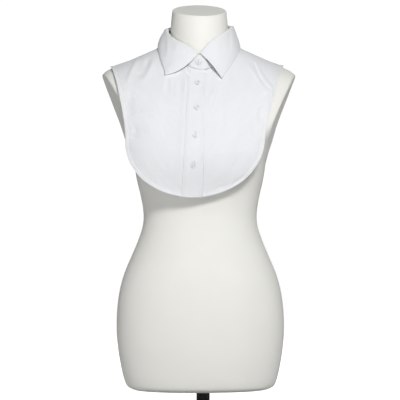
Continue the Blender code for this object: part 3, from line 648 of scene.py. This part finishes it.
def spaced(line, normal, pitch, ends=0.0):
    """Places at an even pitch along a line, with their directions along it and out of the cloth."""
    length = numpy.concatenate([[0], numpy.cumsum(numpy.linalg.norm(numpy.diff(line, axis=0), axis=-1))])
    count = max(int((length[-1] - 2 * ends) / pitch), 1)
    wanted = ends + (length[-1] - 2 * ends) * (numpy.arange(count) + 0.5) / count
    place = numpy.stack([numpy.interp(wanted, length, line[:, axis]) for axis in range(3)], -1)
    out = unit(numpy.stack([numpy.interp(wanted, length, normal[:, axis]) for axis in range(3)], -1))
    ahead = numpy.stack(
        [numpy.interp(wanted + pitch / 4, length, line[:, axis]) for axis in range(3)], -1
    ) - numpy.stack([numpy.interp(wanted - pitch / 4, length, line[:, axis]) for axis in range(3)], -1)
    return place, unit(ahead), out


def stitch(shape, place, along, out, half_sizes):
    """One stitch: a small rounded grain of thread lying on the cloth."""
    sideways = numpy.cross(out, along)
    turned = Matrix([along * half_sizes[0], sideways * half_sizes[1], out * half_sizes[2]]).transposed()
    turned = turned.to_4x4()
    turned.translation = place
    bmesh.ops.create_icosphere(shape, subdivisions=1, radius=1.0, matrix=turned)


STITCH_PITCH = 0.0023
STITCH_ENDS = 0.001
STITCH_HALF_SIZES = (0.00085, 0.00019, 0.00013)


def sew(name, lines):
    """Rows of lockstitching as one piece."""
    shape = bmesh.new()
    for line, normal in lines:
        for place, along, out in zip(*spaced(line, normal, STITCH_PITCH, STITCH_ENDS)):
            stitch(shape, place, along, out, STITCH_HALF_SIZES)
    piece = finished(name, shape, THREAD)
    return piece


class Value:
    """A number, colour or direction that varies over a surface; sums on it add Math nodes."""

    def __init__(self, paint, socket):
        self.paint = paint
        self.socket = socket

    def maths(self, operation, first, second=0.0):
        return self.paint.node("Math", {"operation": operation}, {0: first, 1: second})

    def __add__(self, other):
        return self.maths("ADD", self, other)

    def __sub__(self, other):
        return self.maths("SUBTRACT", self, other)

    def __rsub__(self, other):
        return self.maths("SUBTRACT", other, self)

    def __mul__(self, other):
        return self.maths("MULTIPLY", self, other)

    __radd__ = __add__
    __rmul__ = __mul__

    def sine(self):
        return self.maths("SINE", self)

    def size(self):
        return self.maths("ABSOLUTE", self)

    def most(self, other):
        return self.maths("MAXIMUM", self, other)

    def above(self, low, high):
        """0 under the low value and 1 over the high one."""
        return self.paint.node("MapRange", {}, {"Value": self, "From Min": low, "From Max": high})


class Paint:
    """A material in the making, with what stays the same all over set on its shader."""

    def __init__(self, name, fixed):
        self.material = bpy.data.materials.new(name)
        self.material.use_nodes = True
        self.tree = self.material.node_tree
        self.shader = self.tree.nodes["Principled BSDF"]
        self.fill(self.shader, fixed)

    def fill(self, node, values):
        for socket, value in values.items():
            if isinstance(value, Value):
                self.tree.links.new(value.socket, node.inputs[socket])
            else:
                node.inputs[socket].default_value = value

    def node(self, kind, settings, values, output=0):
        """Add one node: its settings first, then its sockets."""
        node = self.tree.nodes.new("ShaderNode" + kind)
        for setting, value in settings.items():
            setattr(node, setting, value)
        self.fill(node, values)
        return Value(self, node.outputs[output])

    def object_place(self):
        return self.node("TexCoord", {}, {}, "Object")

    def cloth_place(self, stretch=(1, 1, 1)):
        """Metres along the cloth, stretched."""
        place = self.node("UVMap", {"uv_map": "weave"}, {})
        return self.node("Mapping", {}, {"Vector": place, "Scale": stretch})

    def part(self, vector, name):
        """One of a vector's numbers."""
        return self.node("SeparateXYZ", {}, {"Vector": vector}, name)

    def noise(self, place, scale, detail=2.0, roughness=0.5):
        return self.node(
            "TexNoise", {}, {"Vector": place, "Scale": scale, "Detail": detail, "Roughness": roughness}
        )

    def blend(self, share, first, second):
        """A colour between two others."""
        settings = {"data_type": "RGBA"}
        return self.node("Mix", settings, {0: share, 6: (*first, 1), 7: (*second, 1)}, 2)

    def bump(self, height, distance, strength=1.0, under=None):
        values = {"Height": height, "Distance": distance, "Strength": strength}
        if under:
            values["Normal"] = under
        return self.node("Bump", {}, values)

    def finish(self, values):
        self.fill(self.shader, values)
        return self.material


THREADS = 2200.0
YARN_LONG = 60.0
SHEEN = 0.25


def cotton_material(name, light, dark, pucker):
    """Bleached poplin: a fine plain weave, uneven yarns and the small puckers that ironing leaves."""
    paint = Paint(name, {"Sheen Weight": SHEEN, "Sheen Roughness": 0.45, "Specular IOR Level": 0.25})
    place = paint.cloth_place()
    warp = (paint.part(place, "X") * (math.pi * THREADS)).sine()
    weft = (paint.part(place, "Y") * (math.pi * THREADS)).sine()
    over = warp * weft
    threads = warp.size().most(weft.size()) * 0.6 + over.size() * 0.4
    warp_yarn = paint.noise(paint.cloth_place((THREADS, YARN_LONG, 1)), 1.0, 1.0)
    weft_yarn = paint.noise(paint.cloth_place((YARN_LONG, THREADS, 1)), 1.0, 1.0)
    slubs = (warp_yarn + weft_yarn) * 0.5
    crumple = paint.noise(place, 110.0, 3.0, 0.55)
    tumble = paint.noise(place, 34.0, 2.0, 0.5)
    soft = paint.bump(tumble * 0.7 + crumple * 0.3, pucker)
    woven = paint.bump(threads * 0.7 + slubs * 0.3, 0.00006, 0.6, soft)
    tone = slubs * 0.5 + tumble * 0.35 + threads * 0.15
    return paint.finish({
        "Base Color": paint.blend(tone.above(0.30, 0.72), dark, light),
        "Roughness": 0.78 + slubs * 0.14,
        "Normal": woven,
    })


def shell_material():
    """The form's matt, slightly mottled coat, with the faint orange peel of a sprayed surface."""
    paint = Paint("form_coat", {"Specular IOR Level": 0.35})
    place = paint.object_place()
    mottle = paint.noise(place, 14.0, 3.0)
    grain = paint.noise(place, 900.0, 2.0)
    peel = paint.noise(place, 260.0, 2.0)
    speck = paint.node("TexVoronoi", {"feature": "F1"}, {"Vector": place, "Scale": 160.0}).above(0.05, 0.11)
    tone = mottle * 0.6 + grain * 0.25 + speck * 0.15
    return paint.finish({
        "Base Color": paint.blend(tone.above(0.25, 0.75), FORM_DARK, FORM_LIGHT),
        "Roughness": 0.50 + mottle * 0.12 + grain * 0.06,
        "Normal": paint.bump(grain * 0.3 + peel * 0.7, 0.00012, 0.5, paint.bump(mottle, 0.0010, 0.25)),
    })


def metal_material():
    """Black powder coat, rubbed and dusted a little in random patches."""
    paint = Paint("black_coat", {"Specular IOR Level": 0.5, "Coat Roughness": 0.35})
    place = paint.object_place()
    grain = paint.noise(place, 1400.0, 2.0)
    wear = paint.noise(place, 40.0, 4.0, 0.65)
    dust = wear.above(0.48, 0.75)
    return paint.finish({
        "Base Color": paint.blend(dust * 0.5 + grain * 0.2, (0.012, 0.012, 0.013), (0.045, 0.044, 0.043)),
        "Roughness": 0.36 + dust * 0.22 + grain * 0.08,
        "Coat Weight": 0.15 - dust * 0.1,
        "Normal": paint.bump(grain, 0.00006, 0.5),
    })


def button_material():
    """White shirt buttons with the faint cloud of mother-of-pearl resin."""
    paint = Paint("button_resin", {"Coat Roughness": 0.12, "Coat IOR": 1.5, "IOR": 1.52})
    place = paint.object_place()
    cloud = paint.noise(paint.node("Mapping", {}, {"Vector": place, "Scale": (1.0, 1.0, 0.35)}), 420.0, 3.0)
    swirl = (cloud * 18.0).sine() * 0.5 + 0.5
    return paint.finish({
        "Base Color": paint.blend(swirl, PEARL_DARK, PEARL_LIGHT),
        "Roughness": 0.22 + swirl * 0.12,
        "Coat Weight": 0.08 + cloud * 0.1,
        "Normal": paint.bump(cloud, 0.00004, 0.4),
    })


def thread_material():
    """Twisted white sewing thread."""
    paint = Paint("thread", {"Sheen Weight": 0.2, "Sheen Roughness": 0.4, "Specular IOR Level": 0.3})
    place = paint.object_place()
    twist = paint.noise(place, 3200.0, 1.0)
    return paint.finish({
        "Base Color": paint.blend(twist, THREAD_DARK, THREAD_LIGHT),
        "Roughness": 0.6 + twist * 0.2,
        "Normal": paint.bump(twist, 0.00005, 0.6),
    })


COTTON_LIGHT = (0.815, 0.825, 0.845)
COTTON_DARK = (0.765, 0.775, 0.795)
PEARL_LIGHT = (0.815, 0.830, 0.850)
PEARL_DARK = (0.640, 0.656, 0.676)
THREAD_LIGHT = (0.82, 0.83, 0.84)
THREAD_DARK = (0.66, 0.67, 0.69)
FORM_LIGHT = (0.865, 0.860, 0.817)
FORM_DARK = (0.828, 0.823, 0.780)
COTTON = cotton_material("poplin", COTTON_LIGHT, COTTON_DARK, 0.0009)
COLLAR_COTTON = cotton_material("pressed_poplin", COTTON_LIGHT, COTTON_DARK, 0.0005)
SHELL = shell_material()
METAL = metal_material()
PEARL = button_material()
THREAD = thread_material()

FRONT_COLUMNS = 144
FRONT_ROWS = 195
BACK_COLUMNS = 90
PLACKET_COLUMNS = 30
PLACKET_ROWS = 200
STAND_COLUMNS = 260
STAND_ROWS = 14
LEAF_COLUMNS = 300
LEAF_ROWS_DOWN = 60
FORM_COLUMNS = 192
FORM_ROWS_DOWN = 232


def build_front(name, side, edge_offset, lift_at, creases):
    """One front, from its edge at the centre out to the shoulder seam and the round outer hem."""
    positions, turns, tip = panel_grid(
        side, 1, lambda position: turn_at(position, edge_offset(position)), FRONT_COLUMNS, FRONT_ROWS
    )
    plain = cloth_point(positions, turns)
    lift = CLOTH + lift_at(plain[..., 0] - centre_line(plain[..., 2]))
    lift = lift + crease_lift(plain, creases)
    edge = numpy.concatenate([plain[tip:, -1], plain[-1]])
    lift = lift + hem_lift(away_from(plain, edge))
    seam = away_from(plain, plain[: tip + 1, -1])
    lift = lift - SEAM_GROOVE * numpy.exp(-((seam / SEAM_GROOVE_WIDE) ** 2))
    points = cloth_point(positions, turns, lift)
    piece = grid_piece(name + "_cloth", points, COTTON)
    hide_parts(name)
    hem = numpy.concatenate([points[tip:, -1], points[-1, -2::-1]])
    seam = points[SEAM_CLEAR: tip + 1, -1]
    rows = sew(name + "_stitches", [
        inset_line(points, hem, HEM_STITCH_IN),
        inset_line(points, seam, SEAM_STITCH_IN),
    ])
    return piece


def build_back():
    """The back between the two shoulder seams, with its own round hem."""
    right, right_turns, tip = panel_grid(
        1, -1, lambda position: numpy.full_like(position, math.pi), BACK_COLUMNS, FRONT_ROWS
    )
    left, left_turns, tip = panel_grid(
        -1, -1, lambda position: numpy.full_like(position, -math.pi), BACK_COLUMNS, FRONT_ROWS
    )
    positions = numpy.concatenate([right[:, ::-1], left[:, 1:]], axis=1)
    turns = numpy.concatenate([right_turns[:, ::-1], left_turns[:, 1:] + 2 * math.pi], axis=1)
    plain = cloth_point(positions, turns)
    lift = CLOTH + crease_lift(plain, BACK_CREASES)
    edge = numpy.concatenate([plain[tip:, 0], plain[-1], plain[tip:, -1]])
    lift = lift + hem_lift(away_from(plain, edge))
    seam = away_from(plain, numpy.concatenate([plain[: tip + 1, 0], plain[: tip + 1, -1]]))
    lift = lift - SEAM_GROOVE * numpy.exp(-((seam / SEAM_GROOVE_WIDE) ** 2))
    points = cloth_point(positions, turns, lift)
    piece = grid_piece("back_cloth", points, COTTON)
    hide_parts("back")
    hem = numpy.concatenate([points[tip:, 0], points[-1, 1:-1], points[tip:, -1][::-1]])
    rows = sew("back_stitches", [inset_line(points, hem, HEM_STITCH_IN)])
    return piece


def placket_points(columns, rows, lift):
    """The strip down the centre, between its stitched edge and the lapping edge."""
    bottom = hem_row(numpy.zeros(1))[0]
    share_down = numpy.linspace(0, 1, rows + 1)
    position = NECK_ROW + (bottom - NECK_ROW) * share_down
    share = numpy.linspace(0, 1, columns + 1)
    offset = -PLACKET_LEFT + (right_edge(position)[:, None] + PLACKET_LEFT) * share[None, :]
    turn = turn_at(numpy.broadcast_to(position[:, None], offset.shape), offset)
    sag = (hem_row(turn) - bottom) * share_down[:, None] ** HEM_BEND
    return cloth_point(position[:, None] + sag, turn, lift)


def build_placket():
    points = placket_points(PLACKET_COLUMNS, PLACKET_ROWS, 2 * LAYER + CLOTH)
    share = numpy.linspace(0, 1, PLACKET_COLUMNS + 1)
    stitch_in = numpy.minimum(share, 1 - share) * (PLACKET_LEFT + PLACKET_RIGHT + PLACKET_SOFT)
    groove = HEM_GROOVE * numpy.exp(-(((stitch_in - EDGE_STITCH_IN) / HEM_GROOVE_WIDE) ** 2))
    depth = numpy.where(share < 0.5, EDGE_SINK, 2 * EDGE_SINK)
    sink = depth * numpy.exp(-((stitch_in / EDGE_SINK_WIDE) ** 2))
    lift = 2 * LAYER + CLOTH - groove - sink + crease_lift(points, PLACKET_CREASES)
    points = placket_points(PLACKET_COLUMNS, PLACKET_ROWS, lift)
    piece = grid_piece("placket_cloth", points, COLLAR_COTTON)
    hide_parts("placket")
    rows = sew("placket_stitches", [
        inset_line(points, points[STAND_CLEAR:, 0], EDGE_STITCH_IN),
        inset_line(points, points[STAND_CLEAR:, -1], EDGE_STITCH_IN),
    ])
    return piece


def build_stand():
    """The collar stand, an open band whose lapping end lies over the other."""
    whole = 2 * math.pi
    turn = numpy.linspace(STAND_FIRST_TURN, whole + STAND_LAP_TURN, STAND_COLUMNS + 1)
    lap = LAYER * smooth_step(turn, whole - STAND_LAP_RISES[0], whole - STAND_LAP_RISES[1])
    outward = numpy.stack([numpy.sin(turn), -numpy.cos(turn), 0 * turn], -1)
    share = numpy.linspace(0, 1, STAND_ROWS + 1)[:, None, None]
    foot = stand_foot(turn)
    points = foot + (fold_point(turn) - foot) * share + outward * (lap[:, None] + CLOTH)
    piece = grid_piece("collar_stand_cloth", points, COLLAR_COTTON)
    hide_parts("collar_stand")
    rows = sew("collar_stand_stitches", [inset_line(points, points[0], STAND_STITCH_IN)])
    return piece


def leaf_points(shares, section_shares):
    """Points of the leaf's outer side."""
    row = leaf_row(shares)
    fold_turn = numpy.radians(row.fold_turn)
    fold = fold_point(fold_turn)
    edge = cloth_point(row.edge_row, numpy.radians(row.edge_turn), CLOTH + row.lift)
    outward = numpy.stack([numpy.sin(fold_turn), -numpy.cos(fold_turn), 0 * fold_turn], -1)
    along = unit(fold_point(fold_turn + TINY_TURN) - fold_point(fold_turn - TINY_TURN))
    upward = unit(numpy.cross(outward, along))
    upward = upward * numpy.sign(upward[..., 2:])
    step = LeafStep(*numpy.moveaxis(at(LEAF_SECTION, (len(LEAF_SECTION) - 1) * section_shares), -1, 0))
    down = step.down[:, None, None]
    away = step.out[:, None] + CLOTH + row.swell[None, :] * step.swell[:, None]
    points = fold + (edge - fold) * down + upward * step.up[:, None, None] + outward * away[..., None]
    points[..., 2] -= row.bow[None, :] * 4 * down[..., 0] * (1 - down[..., 0])
    crease = crease_lift(points, LEAF_CREASES) * smooth_step(step.down, 0.02, 0.2)[:, None]
    return points + outward * crease[..., None]


def build_leaf():
    """The leaf that folds down over the stand from point to point."""
    points = leaf_points(numpy.linspace(0, 1, LEAF_COLUMNS + 1), numpy.linspace(0, 1, LEAF_ROWS_DOWN + 1))
    piece = grid_piece("collar_cloth", points, COLLAR_COTTON, wall=CLOTH)
    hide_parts("collar")
    rows = sew("collar_stitches", [
        inset_line(points, points[-1], LEAF_STITCH_IN),
        inset_line(points, points[LEAF_FRONT_FROM:, 0], LEAF_STITCH_IN),
        inset_line(points, points[LEAF_FRONT_FROM:, -1], LEAF_STITCH_IN),
    ])
    return piece


BUTTON_RIM_WIDE = 0.0011
BUTTON_DISH = 0.0006
BUTTON_ROUND = 0.00035
BUTTON_SIDES = 48
BUTTON_FOOT_SHARE = 0.93
BUTTON_TWISTS = (0.15, -0.35, 0.22, -0.12, 0.08)
THREAD_SINK = BUTTON_DISH * 0.9
FACES_UP = 0.9
LEVEL_WITHIN = BUTTON_DISH / 9
HOLE_RADIUS = 0.0009
HOLE_OFF = 0.0015
HOLE_SIDES = 12
THREAD_HALF_SIZES = (0.0018, 0.00042, 0.00040)


def button_mesh():
    """A four-hole shirt button lying flat: a rounded rim round a shallow dish."""
    shape = bmesh.new()
    bmesh.ops.create_cone(
        shape, cap_ends=True, segments=BUTTON_SIDES, radius1=BUTTON_RADIUS * BUTTON_FOOT_SHARE,
        radius2=BUTTON_RADIUS,
        depth=BUTTON_THICK, matrix=Matrix.Translation((0, 0, BUTTON_THICK / 2)),
    )
    shape.normal_update()
    top = [face for face in shape.faces if face.normal.z > FACES_UP]
    bmesh.ops.inset_region(shape, faces=top, thickness=BUTTON_RIM_WIDE)
    for corner in top[0].verts:
        corner.co.z -= BUTTON_DISH
    rims = [
        edge for edge in shape.edges if abs(edge.verts[0].co.z - edge.verts[1].co.z) < LEVEL_WITHIN
    ]
    bmesh.ops.bevel(
        shape, geom=rims, offset=BUTTON_ROUND, segments=3, profile=0.5, affect="EDGES", material=-1,
        clamp_overlap=True,
    )
    mesh = bpy.data.meshes.new("button")
    shape.to_mesh(mesh)
    shape.free()
    button = bpy.data.objects.new("button_blank", mesh)
    holes = bmesh.new()
    for x in (-HOLE_OFF, HOLE_OFF):
        for y in (-HOLE_OFF, HOLE_OFF):
            bmesh.ops.create_cone(
                holes, cap_ends=True, segments=HOLE_SIDES, radius1=HOLE_RADIUS, radius2=HOLE_RADIUS,
                depth=4 * BUTTON_THICK, matrix=Matrix.Translation((x, y, BUTTON_THICK / 2)),
            )
    holes_mesh = bpy.data.meshes.new("holes")
    holes.to_mesh(holes_mesh)
    holes.free()
    cutter = bpy.data.objects.new("holes_cutter", holes_mesh)
    for thing in (button, cutter):
        bpy.context.scene.collection.objects.link(thing)
    cut = button.modifiers.new("holes", "BOOLEAN")
    cut.object = cutter
    cut.operation = "DIFFERENCE"
    cut.solver = "EXACT"
    bpy.context.view_layer.update()
    ready = button.evaluated_get(bpy.context.evaluated_depsgraph_get())
    drilled = bpy.data.meshes.new_from_object(ready)
    for thing in (button, cutter):
        bpy.data.objects.remove(thing, do_unlink=True)
    return drilled


def button_places():
    """Where each button sits, and the cloth's outward direction there."""
    foot = stand_foot(STAND_BUTTON_TURN)
    top = fold_point(numpy.array(STAND_BUTTON_TURN))
    share = (STAND_BUTTON_HEIGHT + FORM_FOOT - foot[2]) / (top[2] - foot[2])
    normal = unit(numpy.cross(top - foot, (1.0, 0.0, 0.0)))
    normal = normal if normal[1] < 0 else -normal
    places = [(foot + (top - foot) * share + normal * (LAYER + CLOTH + BUTTON_CLEARANCE), normal)]
    for height in PLACKET_BUTTON_HEIGHTS:
        def above(row):
            return height + FORM_FOOT - cloth_point(row, turn_at(row, 0.0), 2 * LAYER)[..., 2]

        row = solve(above, numpy.full(1, NECK_ROW), numpy.full(1, CORNER_ROWS[1]))
        turn = turn_at(row, 0.0)
        low = cloth_point(row, turn, 2 * LAYER)[0]
        normal = unit(cloth_point(row, turn, 3 * LAYER)[0] - low)
        places.append((low + normal * (CLOTH + BUTTON_CLEARANCE), normal))
    return places


HOLE_LONG = 0.0142
HOLE_PITCH = 0.00055
HOLE_SIDE = 0.00085
SATIN_HALF_SIZES = (0.00085, 0.00022, 0.00022)


def build_buttons():
    """Each button with the thread through its holes, over a satin-stitched buttonhole."""
    drilled = button_mesh()
    for number, (place, normal) in enumerate(button_places(), start=1):
        across = unit(numpy.cross((0.0, 0.0, 1.0), normal))
        rise = numpy.cross(normal, across)
        turned = Matrix([across, rise, normal]).transposed().to_4x4()
        turned.translation = place
        turned = turned @ Matrix.Rotation(BUTTON_TWISTS[number - 1], 4, "Z")
        name = "button_%d" % number
        shape = bmesh.new()
        shape.from_mesh(drilled)
        bmesh.ops.transform(shape, matrix=turned, verts=shape.verts)
        piece = finished(name + "_pearl", shape, PEARL, smooth=False)
        for polygon in piece.data.polygons:
            polygon.use_smooth = polygon.area < SMALL_FACE
        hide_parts(name)
        threads = bmesh.new()
        for side in (-HOLE_OFF, HOLE_OFF):
            middle = numpy.array(turned @ Vector((0.0, side, BUTTON_THICK - THREAD_SINK)))
            along = numpy.array(turned.to_3x3() @ Vector((1.0, 0.0, 0.0)))
            stitch(threads, middle, along, normal, THREAD_HALF_SIZES)
        finished(name + "_thread", threads, THREAD)
        lengthways, sideways = (across, rise) if number == 1 else (rise, across)
        cloth = place - normal * BUTTON_CLEARANCE
        satin = bmesh.new()
        count = int(HOLE_LONG / HOLE_PITCH)
        for step in range(count + 1):
            along = (step / count - 0.5) * HOLE_LONG
            end = step in (0, count)
            for side in (0.0,) if end else (-HOLE_SIDE, HOLE_SIDE):
                sizes = (SATIN_HALF_SIZES[0] * (2.0 if end else 1.0), *SATIN_HALF_SIZES[1:])
                stitch(satin, cloth + lengthways * along + sideways * side, sideways, normal, sizes)
        finished(name + "_hole", satin, THREAD)


ROUND_SIDES = 128
FINE_GAP = 0.0003


def build_metal():
    """The pole and its round base."""
    foot = bmesh.new()
    bmesh.ops.create_cone(
        foot, cap_ends=True, segments=ROUND_SIDES, radius1=BASE_RADIUS, radius2=BASE_RADIUS,
        depth=BASE_THICK, matrix=Matrix.Translation((0, 0, BASE_THICK / 2)),
    )
    upper = [edge for edge in foot.edges if min(corner.co.z for corner in edge.verts) > BASE_THICK / 2]
    bmesh.ops.bevel(
        foot, geom=upper, offset=BASE_EDGE, segments=5, profile=0.5, affect="EDGES", material=-1
    )
    pole = bmesh.new()
    low = BASE_THICK + FINE_GAP
    high = FORM_FOOT - FINE_GAP
    bmesh.ops.create_cone(
        pole, cap_ends=True, segments=ROUND_SIDES // 2, radius1=POLE_RADIUS, radius2=POLE_RADIUS,
        depth=high - low, matrix=Matrix.Translation((*POLE_PLACE, (low + high) / 2)),
    )
    for name, shape in (("base", foot), ("pole", pole)):
        piece = finished(name + "_metal", shape, METAL)
        for polygon in piece.data.polygons:
            polygon.use_smooth = len(polygon.vertices) < ROUND_SIDES // 2
        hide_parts(name)


NECK_RIM = 0.0030
RIM_STEPS = 5
CAP_SHARES = (0.94, 0.7, 0.35, 0.0)


def capped(rings):
    """Rings with their two ends closed: a rounded rim and a flat top, and a flat underside."""
    first = rings[0]
    centre = first.mean(0)
    up = unit(numpy.cross(first[0] - centre, first[len(first) // 4] - centre))
    up = up if up[2] > 0 else -up
    inward = unit(centre - first)
    top = []
    for step in range(1, RIM_STEPS + 1):
        angle = math.pi / 2 * step / RIM_STEPS
        top.append(first + NECK_RIM * (inward * (1 - math.cos(angle)) + up * math.sin(angle)))
    rim = top[-1]
    middle = rim.mean(0)
    top += [middle + (rim - middle) * share for share in CAP_SHARES]
    last = rings[-1]
    below = last.mean(0)
    under = [below + (last - below) * share for share in CAP_SHARES]
    return numpy.concatenate([numpy.array(top[::-1]), rings, numpy.array(under)])


def build_form():
    """The limbless torso, from its slanted neck top to its flat underside."""
    position = numpy.linspace(0, len(FORM_ROWS) - 1, FORM_ROWS_DOWN + 1)
    turn = numpy.linspace(0, 2 * math.pi, FORM_COLUMNS + 1)
    points = capped(form_point(position[:, None], turn[None, :]))
    down = len(points) - 1
    shape = bmesh.new()
    bmesh.ops.create_grid(shape, x_segments=FORM_COLUMNS, y_segments=down, size=0.5)
    for corner in shape.verts:
        i = round((0.5 - corner.co.y) * down)
        j = round((corner.co.x + 0.5) * FORM_COLUMNS)
        corner.co = points[i, j]
    bmesh.ops.remove_doubles(shape, verts=shape.verts[:], dist=1e-6)
    bmesh.ops.recalc_face_normals(shape, faces=shape.faces[:])
    piece = finished("dress_form_shell", shape, SHELL)
    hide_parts("dress_form")
    return piece


def aim(from_place, to_place):
    """The turn that points a lamp or camera at a place."""
    return (Vector(to_place) - Vector(from_place)).to_track_quat("-Z", "Y").to_euler()


def add_lamp(lamp):
    """A large soft lamp."""
    light = bpy.data.lights.new(lamp.name, "AREA")
    light.size = lamp.size
    light.energy = lamp.power
    thing = bpy.data.objects.new(lamp.name, light)
    thing.location = lamp.place
    thing.rotation_euler = aim(lamp.place, lamp.target)
    bpy.context.scene.collection.objects.link(thing)


CAMERA_AWAY = 3.5
CAMERA_TURN = math.radians(-3)
CAMERA_X = 0.0007
CAMERA_Z = 0.5417
SENSOR = 36
FRAME_HEIGHT = 0.808


def build_camera():
    camera = bpy.data.objects.new("camera", bpy.data.cameras.new("camera"))
    camera.data.sensor_width = SENSOR
    camera.data.lens = SENSOR * CAMERA_AWAY / FRAME_HEIGHT
    camera.location = (
        CAMERA_X + CAMERA_AWAY * math.sin(CAMERA_TURN), -CAMERA_AWAY * math.cos(CAMERA_TURN), CAMERA_Z
    )
    camera.rotation_euler = (math.pi / 2, 0, CAMERA_TURN)
    bpy.context.scene.collection.objects.link(camera)
    bpy.context.scene.camera = camera


def camera_only(tree, lighting, seen):
    """A number that is one thing in the lighting and another where the camera sees it."""
    rays = tree.nodes.new("ShaderNodeLightPath")
    mix = tree.nodes.new("ShaderNodeMix")
    mix.data_type = "FLOAT"
    mix.inputs[2].default_value = lighting
    mix.inputs[3].default_value = seen
    tree.links.new(rays.outputs["Is Camera Ray"], mix.inputs[0])
    return mix.outputs[0]


Lamp = namedtuple("Lamp", "name place target size power")
LAMPS = [
    Lamp("key", (0.42, -2.1, 1.80), (0.0, 0.0, 0.75), 0.45, 38),
    Lamp("front_fill", (-0.6, -2.9, 0.40), (0.0, 0.0, 0.55), 1.2, 10.5),
    Lamp("right_fill", (2.3, -1.2, 0.8), (0.1, 0.0, 0.65), 0.8, 5.0),
    Lamp("left_fill", (-2.3, -1.2, 0.8), (-0.1, 0.0, 0.65), 0.8, 8.5),
    Lamp("back_fill", (0.3, 3.0, 1.4), (0.0, 0.0, 0.60), 1.8, 42),
]
WORLD_LIGHT = 0.16
WORLD_SEEN = 1.05
FLOOR_RADIUS = 40
FLOOR_SIDES = 96
FLOOR_GLOW = 0.90
# Painted shadow under the stand: the floor's camera-only glow is greyed to this colour at its middle and
# fades to white between these distances in metres
FLOOR_SHADOW_GREY = (0.70, 0.70, 0.70)
FLOOR_SHADOW_FADE = (0.15, 1.00)


def build_studio():
    """Plain soft studio light, a white surround and a pale floor with a painted soft shadow round the base.
    """
    scene = bpy.context.scene
    scene.view_settings.view_transform = "Standard"
    scene.world = bpy.data.worlds.new("studio")
    scene.world.use_nodes = True
    tree = scene.world.node_tree
    background = tree.nodes["Background"]
    background.inputs["Color"].default_value = (1, 1, 1, 1)
    tree.links.new(camera_only(tree, WORLD_LIGHT, WORLD_SEEN), background.inputs["Strength"])
    for lamp in LAMPS:
        add_lamp(lamp)
    shape = bmesh.new()
    bmesh.ops.create_circle(shape, cap_ends=True, segments=FLOOR_SIDES, radius=FLOOR_RADIUS)
    mesh = bpy.data.meshes.new("floor")
    shape.to_mesh(mesh)
    shape.free()
    floor = bpy.data.objects.new("floor", mesh)
    paint = Paint("pale_floor", {"Base Color": (0.6, 0.6, 0.6, 1)})
    paint.tree.links.new(camera_only(paint.tree, 0.0, FLOOR_GLOW), paint.shader.inputs["Emission Strength"])
    place = paint.object_place()
    away = paint.node("VectorMath", {"operation": "LENGTH"}, {0: place}, 1)
    # Painted shadow: the floor's camera-only glow is dimmed round its middle, where the stand stands
    mesh.materials.append(paint.finish({
        "Emission Color": paint.blend(away.above(*FLOOR_SHADOW_FADE), FLOOR_SHADOW_GREY, (1, 1, 1)),
        "Roughness": 0.85 + paint.noise(place, 30.0) * 0.1,
    }))
    scene.collection.objects.link(floor)


def over_lift(offset):
    """How far the right front is lifted where it laps over the left one."""
    sink = EDGE_SINK * smooth_step(offset, PLACKET_RIGHT, PLACKET_RIGHT + EDGE_SINK_WIDE)
    return LAYER * smooth_step(offset, -LAP_RAMP_START, -LAP_RAMP_END) - sink


build_camera()
build_studio()
build_form()
build_back()

build_front("front_right", -1, right_edge, over_lift, RIGHT_FRONT_CREASES)
build_front("front_left", 1, lambda position: -UNDERLAP, lambda offset: 0 * offset, LEFT_FRONT_CREASES)
build_placket()
build_stand()
build_leaf()
build_buttons()
build_metal()
